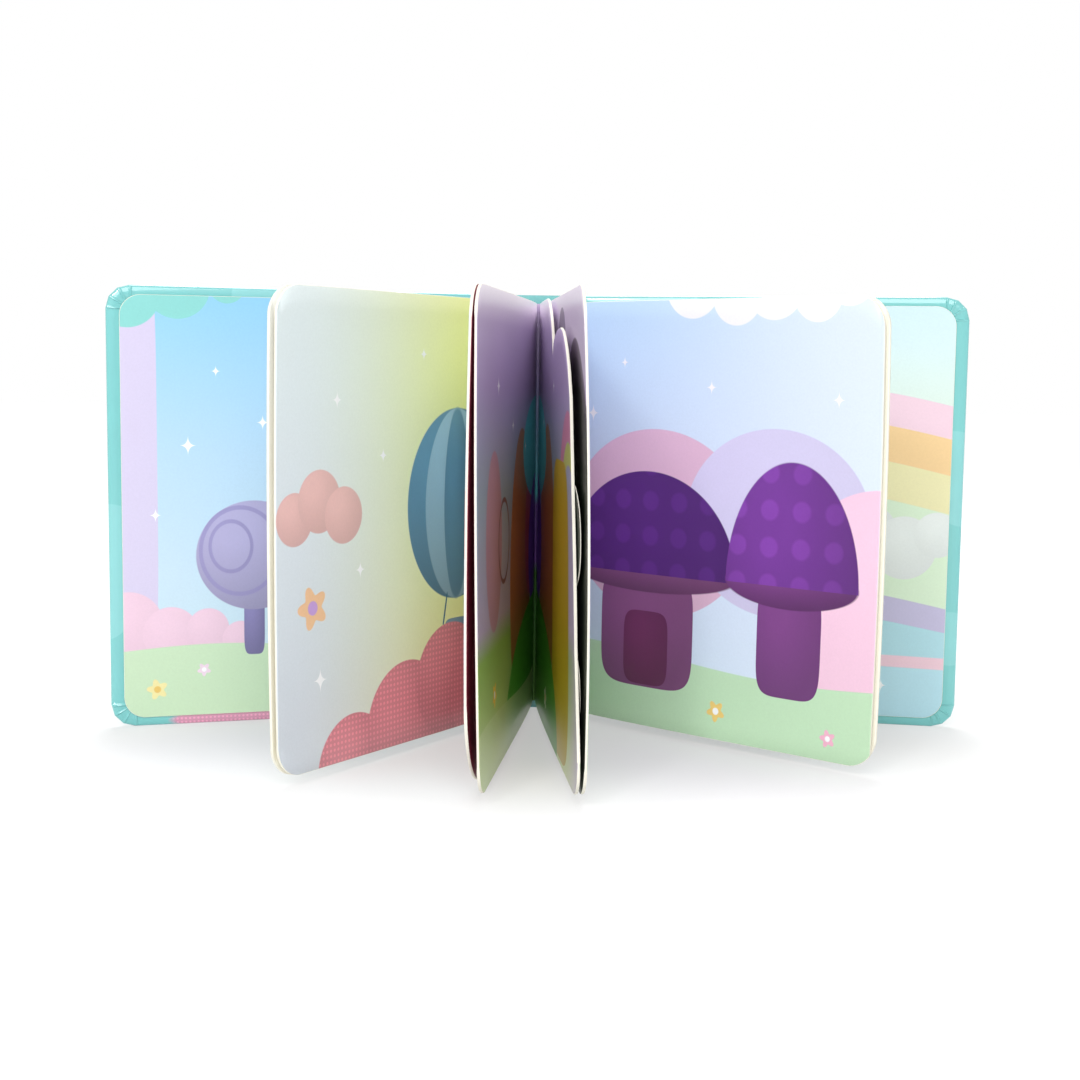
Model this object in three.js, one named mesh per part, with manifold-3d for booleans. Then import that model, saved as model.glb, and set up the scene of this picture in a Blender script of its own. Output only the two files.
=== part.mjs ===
// Pop up book, standing on its lower edges with its pages fanned open.
// A hard case (two padded covers and a spine, wrapped in one printed sheet) holds a concertina
// of stiff folded cards, glued back to back. Folded pop ups lie in the closed spreads.
// Millimetres, +Z up. The origin is the middle of the spine's foot, the reader is at -Y.

import * as THREE from 'three';
import { mergeVertices } from 'three/addons/utils/BufferGeometryUtils.js';
import Module from 'manifold-3d';

// Case
const coverHeight = 190;
const coverWidth = 172.4;
const coverCorner = 10;
const coverEdgeRadius = 1.5;
const padRise = 1.2;
const padShoulder = 14;
const spineWidth = 23;
const spineThickness = 2.2;
const hingeOffset = 18;
const wrapThickness = 0.9;
const frontCoverLean = 17.1;
const backCoverLean = 10.4;
const frontHingeDrop = 3.1;
const backHingeDrop = 2.1;

// Pages
const square = 4;
const leafWidth = 177;
const cardThickness = 0.56;
const foldPitch = 2.31;
const leafCount = 8;
const foldRise = 3;
const foldArm = 0.8;
const leafCorner = 12;
const bendLength = 20;
const foreSquare = 5.5;
const hingePaperWidth = 5.2;

// Pop ups
const popUpCard = 0.2;
const popUpFoldGap = 0.1;
const popUpInset = 5;

// Running and glue gaps
const clearance = 0.3;

const leafThickness = 2 * cardThickness;
const leafHeight = coverHeight - 2 * square;
const foldWidth = leafCount * foldPitch;
const foldOuterRadius = foldPitch / 2;
const foldInnerRadius = foldOuterRadius - cardThickness;
const gutterY = -(spineThickness / 2 + clearance + foldOuterRadius + foldRise);
const radians = THREE.MathUtils.degToRad;

// One row for each leaf, left to right. The angles are measured from straight towards the
// reader, to the right. lean is how far the top of the free edge stands to the right of its
// bottom, and bow is how far its middle stands to the right of both.
const leaves = [
  { start: -10, end: -32.5, lean: -0.6, bow: -1.3 },
  { start: -8, end: -32.7, lean: 0, bow: -1 },
  { start: -4, end: -6.59, lean: 0.5, bow: -1, lowCorner: 34 },
  { start: -2, end: -6.57, lean: -2.5, bow: -0.66 },
  { start: 2, end: 4.66, lean: -4.4, bow: 0.8, dieCut: true },
  { start: 4, end: 4.66, lean: -2.9, bow: 1.47 },
  { start: 20, end: 48.3, lean: 0.2, bow: 2, lowShift: 2 },
  { start: 20, end: 48.3, lean: 0.2, bow: 2 },
];

const wrapPaper = new THREE.MeshStandardMaterial({ color: 0x8fe0df, roughness: 0.28, metalness: 0 });
const pageCard = new THREE.MeshStandardMaterial({ color: 0xf4f1e6, roughness: 0.35, metalness: 0 });
const endPaper = new THREE.MeshStandardMaterial({ color: 0xbfe6f2, roughness: 0.35, metalness: 0 });
const popUpPaper = new THREE.MeshStandardMaterial({ color: 0xe9c3dd, roughness: 0.4, metalness: 0 });

const wasm = await Module();
wasm.setup();

// A closed geometry as a solid that can be joined and cut.
function toSolid(geometry) {
  const bare = geometry.clone();
  bare.deleteAttribute('normal');
  bare.deleteAttribute('uv');
  const welded = mergeVertices(bare, 1e-4);
  return new wasm.Manifold(new wasm.Mesh({
    numProp: 3,
    vertProperties: new Float32Array(welded.attributes.position.array),
    triVerts: new Uint32Array(welded.index.array),
  }));
}

function toGeometry(solid) {
  const mesh = solid.getMesh();
  const geometry = new THREE.BufferGeometry();
  geometry.setAttribute('position', new THREE.BufferAttribute(mesh.vertProperties, 3));
  geometry.setIndex(new THREE.BufferAttribute(mesh.triVerts, 1));
  geometry.computeVertexNormals();
  return geometry;
}

function indexedGeometry(points, triangles) {
  const geometry = new THREE.BufferGeometry();
  geometry.setAttribute('position', new THREE.Float32BufferAttribute(points, 3));
  geometry.setIndex(triangles);
  geometry.computeVertexNormals();
  return geometry;
}

// Place of fold number k, from 0 at the left to leafCount at the right. The folds lie on a
// shallow curve, because the open covers draw the outer ones back.
function fold(k) {
  const x = (k - leafCount / 2) * foldPitch;
  const y = gutterY + foldRise * (2 * x / foldWidth) ** 2;
  return new THREE.Vector2(x, y);
}

// Place of a leaf's root, midway between two folds and in front of both.
function leafRoot(index) {
  const left = fold(index);
  const right = fold(index + 1);
  return new THREE.Vector2((left.x + right.x) / 2, Math.min(left.y, right.y) - foldArm / 2);
}

// The middle line of a leaf in plan: it leaves the spine at one angle and bends to another.
// Returns a function that gives the point and the right-hand normal at a distance s.
function leafLine(leaf, index) {
  const point = leafRoot(index);
  const line = [];
  for (let s = 0; s <= leafWidth + 1; s += 1) {
    const angle = radians(leaf.end + (leaf.start - leaf.end) * Math.exp(-s / bendLength));
    const along = new THREE.Vector2(Math.sin(angle), -Math.cos(angle));
    line.push({ point: point.clone(), normal: new THREE.Vector2(-along.y, along.x) });
    point.addScaledVector(along, 1);
  }
  return (s) => {
    const i = Math.min(Math.floor(s), line.length - 2);
    const part = s - i;
    return {
      point: line[i].point.clone().lerp(line[i + 1].point, part),
      normal: line[i].normal.clone().lerp(line[i + 1].normal, part).normalize(),
    };
  };
}

// How far a leaf stands to the right of its middle line at a distance s and a height z.
function leafSway(leaf, s, z) {
  const rise = THREE.MathUtils.clamp((z - square) / leafHeight, 0, 1);
  const reach = (s / leafWidth) ** 1.5;
  return reach * (leaf.lean * (rise - 0.5) + leaf.bow * (1 - (2 * rise - 1) ** 2));
}

// How far a round corner takes the edge in, at a distance s. shift moves the round outwards,
// as on a card whose corner was punched a little off its edge.
function cornerInset(s, radius, shift = 0) {
  const past = s - (leafWidth - radius + shift);
  if (past <= 0) return 0;
  return radius - Math.sqrt(Math.max(radius ** 2 - past ** 2, 0));
}

// Top edge of the die-cut leaf: a round crown by the fold, a notch, a lower round crown, and a
// fore edge that falls away to the leaf's full width at the foot. Shares of the leaf's width,
// and depths below the leaf's top.
const dieCutEdge = [
  [0.3, 0], [0.35, 1.6], [0.395, 5.5], [0.43, 9.7], [0.453, 13.8], [0.47, 19], [0.478, 24.2],
  [0.488, 20.5], [0.51, 18], [0.55, 15.8], [0.61, 14.2], [0.69, 13.8], [0.74, 15.2], [0.78, 18],
  [0.82, 22.4], [0.855, 28], [0.89, 39], [0.9, 58], [0.91, 75], [0.93, 100], [0.945, 128],
  [0.975, 150], [1, 168],
];

function dieCutDepth(s) {
  const share = s / leafWidth;
  const next = dieCutEdge.findIndex(([toShare]) => share <= toShare);
  if (next === 0) return dieCutEdge[0][1];
  if (next < 0) return dieCutEdge.at(-1)[1];
  const [fromShare, fromDepth] = dieCutEdge[next - 1];
  const [toShare, toDepth] = dieCutEdge[next];
  return fromDepth + (toDepth - fromDepth) * (share - fromShare) / (toShare - fromShare);
}

// Distances along a leaf at which its section is taken: close together by the bend and on the
// round corners, and at each point of a die-cut edge.
function leafStations(leaf) {
  const radii = [leafCorner, leaf.lowCorner ?? leafCorner];
  const found = [0, 4, 8, 14, 22, 32, 46, 64, 86, 108, 128];
  for (const radius of radii) {
    for (let step = 0; step <= 6; step += 1) {
      found.push(leafWidth - radius * (1 - Math.sin(step * Math.PI / 12)));
    }
  }
  if (leaf.dieCut) {
    for (const [share] of dieCutEdge) found.push(share * leafWidth);
  }
  found.sort((a, b) => a - b);
  return found.filter((s, i) => i === 0 || s - found[i - 1] > 0.25);
}

// A closed sheet that follows a line in plan. Each section is upright and holds rows of points
// on both faces, from low to high. It is thick along its normal and sways along across.
function sheetSolid(sections, thickness, rows) {
  const points = [];
  const triangles = [];
  const ring = 2 * (rows + 1);
  for (const section of sections) {
    for (const side of [1, -1]) {
      for (let row = 0; row <= rows; row += 1) {
        const share = side > 0 ? row / rows : 1 - row / rows;
        const z = section.low + (section.high - section.low) * share;
        const off = side * thickness / 2;
        const sway = section.sway(z);
        points.push(section.point.x + section.normal.x * off + section.across.x * sway);
        points.push(section.point.y + section.normal.y * off + section.across.y * sway);
        points.push(z);
      }
    }
  }
  for (let i = 0; i + 1 < sections.length; i += 1) {
    for (let j = 0; j < ring; j += 1) {
      const next = (j + 1) % ring;
      const a = i * ring + j;
      const b = i * ring + next;
      const c = (i + 1) * ring + j;
      const d = (i + 1) * ring + next;
      triangles.push(a, b, c, b, d, c);
    }
  }
  const last = (sections.length - 1) * ring;
  for (let row = 0; row < rows; row += 1) {
    const back = ring - 1 - row;
    triangles.push(row, back, row + 1, row + 1, back, back - 1);
    triangles.push(last + row, last + row + 1, last + back);
    triangles.push(last + row + 1, last + back - 1, last + back);
  }
  return indexedGeometry(points, triangles);
}

function leafSheet(leaf, index) {
  const at = leafLine(leaf, index);
  const sections = leafStations(leaf).map((s) => ({
    ...at(s),
    across: at(s).normal,
    low: square + cornerInset(s, leaf.lowCorner ?? leafCorner, leaf.lowShift),
    high: square + leafHeight - (leaf.dieCut ? dieCutDepth(s) : cornerInset(s, leafCorner)),
    sway: (z) => leafSway(leaf, s, z),
  }));
  return sheetSolid(sections, leafThickness, 4);
}

// The folded backs of the cards, side by side: a row of U shapes open to the reader.
function foldedBacks() {
  const shape = new THREE.Shape();
  const first = fold(0);
  shape.moveTo(first.x - foldOuterRadius, first.y - foldArm);
  for (let k = 0; k <= leafCount; k += 1) {
    const { x, y } = fold(k);
    shape.lineTo(x - foldOuterRadius, y);
    shape.absarc(x, y, foldOuterRadius, Math.PI, 0, true);
  }
  const last = fold(leafCount);
  shape.lineTo(last.x + foldOuterRadius, last.y - foldArm);
  for (let k = leafCount; k >= 0; k -= 1) {
    const { x, y } = fold(k);
    const rightY = k === leafCount ? y : Math.min(y, fold(k + 1).y);
    const leftY = k === 0 ? y : Math.min(y, fold(k - 1).y);
    shape.lineTo(x + foldInnerRadius, rightY - foldArm);
    shape.lineTo(x + foldInnerRadius, y);
    shape.absarc(x, y, foldInnerRadius, 0, Math.PI, false);
    shape.lineTo(x - foldInnerRadius, leftY - foldArm);
  }
  const geometry = new THREE.ExtrudeGeometry(shape, {
    depth: leafHeight, bevelEnabled: false, curveSegments: 4,
  });
  return geometry.translate(0, 0, square);
}

// The strip of the first or last card that runs from its fold towards the cover's hinge.
function hingePaper(side) {
  const start = fold(side < 0 ? 0 : leafCount);
  const x0 = start.x + side * (foldOuterRadius - cardThickness);
  const x1 = start.x + side * (foldOuterRadius + hingePaperWidth);
  const y0 = start.y - foldArm / 2;
  const y1 = y0 - hingePaperWidth * Math.tan(radians((frontCoverLean + backCoverLean) / 4));
  const shape = new THREE.Shape();
  shape.moveTo(x0, y0 + cardThickness / 2);
  shape.lineTo(x1, y1 + cardThickness / 2);
  shape.lineTo(x1, y1 - cardThickness / 2);
  shape.lineTo(x0, y0 - cardThickness / 2);
  const geometry = new THREE.ExtrudeGeometry(shape, { depth: leafHeight, bevelEnabled: false });
  return geometry.translate(0, 0, square);
}

function pageBlock() {
  let solid = toSolid(foldedBacks());
  for (const side of [-1, 1]) solid = solid.add(toSolid(hingePaper(side)));
  leaves.forEach((leaf, index) => {
    solid = solid.add(toSolid(leafSheet(leaf, index)));
  });
  return toGeometry(solid);
}

// Ring of points round a cover at one level, drawn in from its edge by inset. The fore corners
// are cut in three straight facets, as the pleated wrap leaves them.
function coverRing(inset) {
  const low = inset;
  const high = coverHeight - inset;
  const near = -coverEdgeRadius + inset;
  const far = coverWidth - inset;
  const radius = Math.max(coverCorner - inset, 1);
  const facets = 3;
  const ring = [[near, low]];
  for (let i = 0; i <= facets; i += 1) {
    const turn = i / facets * Math.PI / 2;
    ring.push([far - radius * (1 - Math.sin(turn)), low + radius * (1 - Math.cos(turn))]);
  }
  for (let i = 0; i <= facets; i += 1) {
    const turn = i / facets * Math.PI / 2;
    ring.push([far - radius * (1 - Math.cos(turn)), high - radius * (1 - Math.sin(turn))]);
  }
  ring.push([near, high]);
  return ring;
}

// A padded cover in its own frame: the hinge axis at the origin, x to the fore edge, the inner
// face at -y. Its edges are full round, and its outer face swells over the padding.
function coverSolid() {
  const levels = [];
  for (let i = 0; i <= 6; i += 1) {
    const turn = -Math.PI / 2 + i * Math.PI / 8;
    const y = coverEdgeRadius * Math.sin(turn);
    levels.push({ y, inset: coverEdgeRadius * (1 - Math.cos(turn)) });
  }
  const shoulder = levels.at(-1);
  for (let i = 1; i <= 4; i += 1) {
    const share = i / 4;
    const inset = shoulder.inset + (padShoulder - shoulder.inset) * share ** 2;
    const top = coverEdgeRadius + padRise;
    levels.push({ y: shoulder.y + (top - shoulder.y) * Math.sin(share * Math.PI / 2), inset });
  }
  const points = [];
  const triangles = [];
  const count = coverRing(0).length;
  for (const level of levels) {
    for (const [x, z] of coverRing(level.inset)) points.push(x, level.y, z);
  }
  for (let i = 0; i + 1 < levels.length; i += 1) {
    for (let j = 0; j < count; j += 1) {
      const next = (j + 1) % count;
      const a = i * count + j;
      const b = i * count + next;
      triangles.push(a, a + count, b, b, a + count, b + count);
    }
  }
  const last = (levels.length - 1) * count;
  for (let j = 1; j + 1 < count; j += 1) {
    triangles.push(0, j, j + 1);
    triangles.push(last, last + j + 1, last + j);
  }
  return indexedGeometry(points, triangles);
}

// The end card glued inside a cover, in the cover's frame.
function pastedownSolid() {
  const start = coverEdgeRadius / 3;
  const end = coverWidth - foreSquare;
  const high = coverHeight - square;
  const shape = new THREE.Shape();
  shape.moveTo(start, square);
  shape.lineTo(end - leafCorner, square);
  shape.absarc(end - leafCorner, square + leafCorner, leafCorner, -Math.PI / 2, 0, false);
  shape.lineTo(end, high - leafCorner);
  shape.absarc(end - leafCorner, high - leafCorner, leafCorner, 0, Math.PI / 2, false);
  shape.lineTo(start, high);
  const geometry = new THREE.ExtrudeGeometry(shape, {
    depth: cardThickness, bevelEnabled: false, curveSegments: 8,
  });
  geometry.rotateX(Math.PI / 2);
  return geometry.translate(0, -(coverEdgeRadius + clearance), 0);
}

// Where the axis of a cover's hinge stands.
function hingePoint(side) {
  const drop = side < 0 ? frontHingeDrop : backHingeDrop;
  return new THREE.Vector2(side * hingeOffset, -drop);
}

// The spine board with the wrap that reaches from it into both hinge grooves.
function spineSolid() {
  const half = spineWidth / 2;
  const outer = spineThickness / 2;
  const shape = new THREE.Shape();
  const stop = coverEdgeRadius + clearance;
  const groove = (side) => {
    const hinge = hingePoint(side);
    const from = new THREE.Vector2(side * half, outer - wrapThickness / 2);
    const along = hinge.clone().sub(from).normalize();
    const end = hinge.clone().addScaledVector(along, -stop);
    const normal = new THREE.Vector2(-along.y, along.x).multiplyScalar(-side * wrapThickness / 2);
    return { lower: end.clone().sub(normal), upper: end.clone().add(normal) };
  };
  const left = groove(-1);
  const right = groove(1);
  shape.moveTo(-half + wrapThickness, -outer);
  shape.lineTo(half - wrapThickness, -outer);
  shape.lineTo(half, outer - wrapThickness * 1.2);
  shape.lineTo(right.upper.x, right.upper.y);
  shape.lineTo(right.lower.x, right.lower.y);
  shape.lineTo(half, outer);
  shape.lineTo(-half, outer);
  shape.lineTo(left.lower.x, left.lower.y);
  shape.lineTo(left.upper.x, left.upper.y);
  shape.lineTo(-half, outer - wrapThickness * 1.2);
  return new THREE.ExtrudeGeometry(shape, { depth: coverHeight, bevelEnabled: false });
}

// Outline of a folded pop up: distance from the gutter and how far its lower and upper edges
// stand from the leaf's lower and upper edges.
const popUps = [
  { left: 0, reach: 128, low: 30, high: 34, crest: 24 },
  { left: 2, reach: 150, low: 12, high: 26, crest: 18 },
  { left: 4, reach: 138, low: 14, high: 44, crest: 26 },
  { left: 6, reach: 132, low: 26, high: 30, crest: 20 },
];

// One pop up, folded flat between two leaves. In plan it is a hairpin: out along the left leaf,
// round the crease and back along the right leaf. Its upper edge rises and falls in two humps.
function popUpSolid(popUp) {
  const leftAt = leafLine(leaves[popUp.left], popUp.left);
  const rightAt = leafLine(leaves[popUp.left + 1], popUp.left + 1);
  const wing = popUpCard / 2 + popUpFoldGap / 2;
  const start = bendLength;
  const high = square + leafHeight - popUp.high;
  const sectionAt = (s, side) => {
    const left = leftAt(s);
    const right = rightAt(s);
    const point = left.point.clone().lerp(right.point, 0.5);
    const normal = left.normal.clone().lerp(right.normal, 0.5).normalize();
    const share = (s - start) / (popUp.reach - start);
    const hump = Math.abs(Math.sin(share * Math.PI * 2));
    return {
      point: point.addScaledVector(normal, side * wing),
      normal: normal.clone().multiplyScalar(-side),
      across: normal,
      low: square + popUp.low + popUpInset * share,
      high: high - popUp.crest * (1 - hump),
      sway: (z) => (leafSway(leaves[popUp.left], s, z)
        + leafSway(leaves[popUp.left + 1], s, z)) / 2,
    };
  };
  const steps = 16;
  const sections = [];
  for (let i = 0; i <= steps; i += 1) {
    sections.push(sectionAt(start + (popUp.reach - start) * i / steps, -1));
  }
  const tip = sectionAt(popUp.reach, -1);
  const out = new THREE.Vector2(tip.normal.y, -tip.normal.x);
  const middle = tip.point.clone().addScaledVector(tip.normal, wing);
  for (let i = 1; i < 4; i += 1) {
    const turn = i * Math.PI / 4;
    const normal = tip.normal.clone().multiplyScalar(Math.cos(turn));
    normal.addScaledVector(out, -Math.sin(turn));
    sections.push({ ...tip, point: middle.clone().addScaledVector(normal, -wing), normal });
  }
  for (let i = steps; i >= 0; i -= 1) {
    sections.push(sectionAt(start + (popUp.reach - start) * i / steps, 1));
  }
  return sheetSolid(sections, popUpCard, 3);
}

function part(name, geometry, material) {
  const mesh = new THREE.Mesh(geometry, material);
  mesh.name = name;
  return mesh;
}

// A cover with its end card, turned about the hinge. The front cover is the same board turned
// over, so that its inner face looks to the reader too.
function coverGroup(side, name) {
  const hinge = hingePoint(side);
  const group = new THREE.Group();
  group.position.set(hinge.x, hinge.y, 0);
  group.rotation.z = side < 0 ? Math.PI + radians(frontCoverLean) : -radians(backCoverLean);
  const board = coverSolid();
  const endCard = pastedownSolid();
  if (side < 0) {
    for (const geometry of [board, endCard]) {
      geometry.rotateX(Math.PI).translate(0, 0, coverHeight);
    }
  }
  group.add(part(`${name}_cover`, board, wrapPaper));
  group.add(part(`${name}_pastedown`, endCard, endPaper));
  return group;
}

const book = new THREE.Group();
book.add(part('spine', spineSolid(), wrapPaper));
book.add(coverGroup(-1, 'front'));
book.add(coverGroup(1, 'back'));
book.add(part('page_block', pageBlock(), pageCard));
popUps.forEach((popUp, index) => {
  book.add(part(`pop_up_${index + 1}`, popUpSolid(popUp), popUpPaper));
});

export default book;
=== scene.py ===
"""Open pop up book, standing on its lower edges with its stiff pages fanned out.

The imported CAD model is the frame. The page block, the covers and the end cards are made again
here in the same places, with softer edges, prints and pleats. The spine and the folded pop ups
keep their solids and get a finish, and the tabs that show beside one leaf are added.
Lengths are written in millimetres and turned to metres where a mesh is made.
"""
import logging
import math
from collections.abc import Sequence
from dataclasses import dataclass, field
from enum import Enum

import bmesh
import bpy
import numpy as np
from bpy.types import Material, Mesh, Node, NodeSocket, NodeTree, Object
from mathutils import Matrix, Vector


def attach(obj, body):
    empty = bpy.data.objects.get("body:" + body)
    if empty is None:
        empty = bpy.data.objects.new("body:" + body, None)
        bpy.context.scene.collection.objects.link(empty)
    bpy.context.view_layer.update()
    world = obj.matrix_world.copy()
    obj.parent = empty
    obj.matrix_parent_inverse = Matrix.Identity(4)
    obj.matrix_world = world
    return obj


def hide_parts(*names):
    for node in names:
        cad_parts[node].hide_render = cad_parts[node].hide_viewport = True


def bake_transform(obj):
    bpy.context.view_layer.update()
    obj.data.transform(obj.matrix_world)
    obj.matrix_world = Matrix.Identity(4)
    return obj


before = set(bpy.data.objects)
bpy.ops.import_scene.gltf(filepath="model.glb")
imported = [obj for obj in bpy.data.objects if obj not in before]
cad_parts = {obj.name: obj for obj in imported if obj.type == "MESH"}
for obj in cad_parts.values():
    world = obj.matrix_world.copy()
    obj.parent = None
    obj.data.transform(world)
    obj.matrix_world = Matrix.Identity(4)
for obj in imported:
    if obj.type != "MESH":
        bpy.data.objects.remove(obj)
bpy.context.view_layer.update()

MM = 0.001
LOG = logging.getLogger("pop_up_book")

LEAF_WIDTH = 177.0
LEAF_HEIGHT = 182.0
FOOT = 4.0
BOOK_HEIGHT = 190.0

# The kinds of node that come often
MATH = "ShaderNodeMath"
VECTOR = "ShaderNodeVectorMath"
RANGE = "ShaderNodeMapRange"
NOISE = "ShaderNodeTexNoise"
SPLIT = "ShaderNodeSeparateXYZ"
JOIN = "ShaderNodeCombineXYZ"
MIX = "ShaderNodeMix"
BUMP = "ShaderNodeBump"
COORDINATES = "ShaderNodeTexCoord"
GLOSS = "ShaderNodeBsdfPrincipled"
# Inputs of a colour mix, by number
SHARE, UNDER, OVER = 0, 6, 7


def linear(code: str) -> tuple[float, float, float, float]:
    """Turns an sRGB hex colour into linear RGBA.

    Args:
        code: Six hex digits with a leading hash.

    Returns:
        The linear colour, with full alpha.
    """
    channels = [int(code[i:i + 2], 16) / 255 for i in (1, 3, 5)]
    low = [c / 12.92 if c <= 0.04045 else ((c + 0.055) / 1.055) ** 2.4 for c in channels]
    return (low[0], low[1], low[2], 1.0)


def add_node(
    tree: NodeTree, kind: str, inputs: dict[str | int, object] | None = None,
    **settings: object,
) -> Node:
    """Adds a node, sets its properties, and fills or links its inputs.

    Args:
        tree: The tree that gets the node.
        kind: The node's type name.
        inputs: For each input, by name or by number, a value, an output socket, or a node
            that gives its first output in use.
        settings: The node's own properties.

    Returns:
        The new node.
    """
    node = tree.nodes.new(kind)
    for name, value in settings.items():
        setattr(node, name, value)
    for key, value in (inputs or {}).items():
        socket = node.inputs[key] if isinstance(key, int) else next(
            s for s in node.inputs if s.name == key and s.enabled)
        if isinstance(value, Node):
            value = result(value)
        if isinstance(value, NodeSocket):
            tree.links.new(value, socket)
        else:
            socket.default_value = value
    return node


def result(node: Node, name: str | None = None) -> NodeSocket:
    """Gives a node's first output in use, or the one with a name."""
    return next(s for s in node.outputs if s.enabled and name in (None, s.name))


def fill_ramp(ramp: Node, stops: Sequence[tuple[float, str]]) -> None:
    """Sets the stops of a colour ramp.

    Args:
        ramp: The ramp's node.
        stops: Place and sRGB hex colour of each stop, in order.
    """
    elements = ramp.color_ramp.elements
    while len(elements) < len(stops):
        elements.new(0.5)
    for element, (place, ink) in zip(elements, stops):
        element.position = place
        element.color = linear(ink)


def start_material(name: str) -> tuple[Material, NodeTree]:
    """Makes a material with an empty tree.

    Args:
        name: The material's name.

    Returns:
        The material and its tree.
    """
    material = bpy.data.materials.new(name)
    material.use_nodes = True
    material.node_tree.nodes.clear()
    return material, material.node_tree


def seen_mask(tree: NodeTree) -> Node:
    """Adds the nodes that give 1 to camera, glossy and transmission rays, and 0 to others.

    Args:
        tree: The tree of the floor's material or of the world.

    Returns:
        The node with the mask.
    """
    ray = add_node(tree, "ShaderNodeLightPath")
    mask = add_node(tree, MATH, {
        0: ray.outputs["Is Camera Ray"], 1: ray.outputs["Is Glossy Ray"]}, operation="MAXIMUM")
    return add_node(tree, MATH, {0: mask, 1: ray.outputs["Is Transmission Ray"]},
                    operation="MAXIMUM")


# Prints

# Keeps the two directions of the page and drops the third.
ON_THE_PAGE = (1.0, 1.0, 0.0)


class Motif(Enum):
    """Simple shapes that the prints are made of."""

    SPOT = "spot"
    SPARK = "spark"
    FLOWER = "flower"
    RING = "ring"
    BLOCK = "block"
    SWELL = "swell"
    DOTTED = "dotted"


@dataclass(frozen=True)
class Shape:
    """One printed shape. Sizes are half widths in millimetres, on the page as it is read.

    width is the share of its size that a ring's line takes, or the pitch of a dotted
    shape's dots in millimetres.
    """

    motif: Motif
    x: float
    y: float
    w: float
    h: float
    ink: str
    shade: float = 0.0
    cut: float = -99.0
    turn: float = 0.0
    width: float = 0.12


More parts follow.
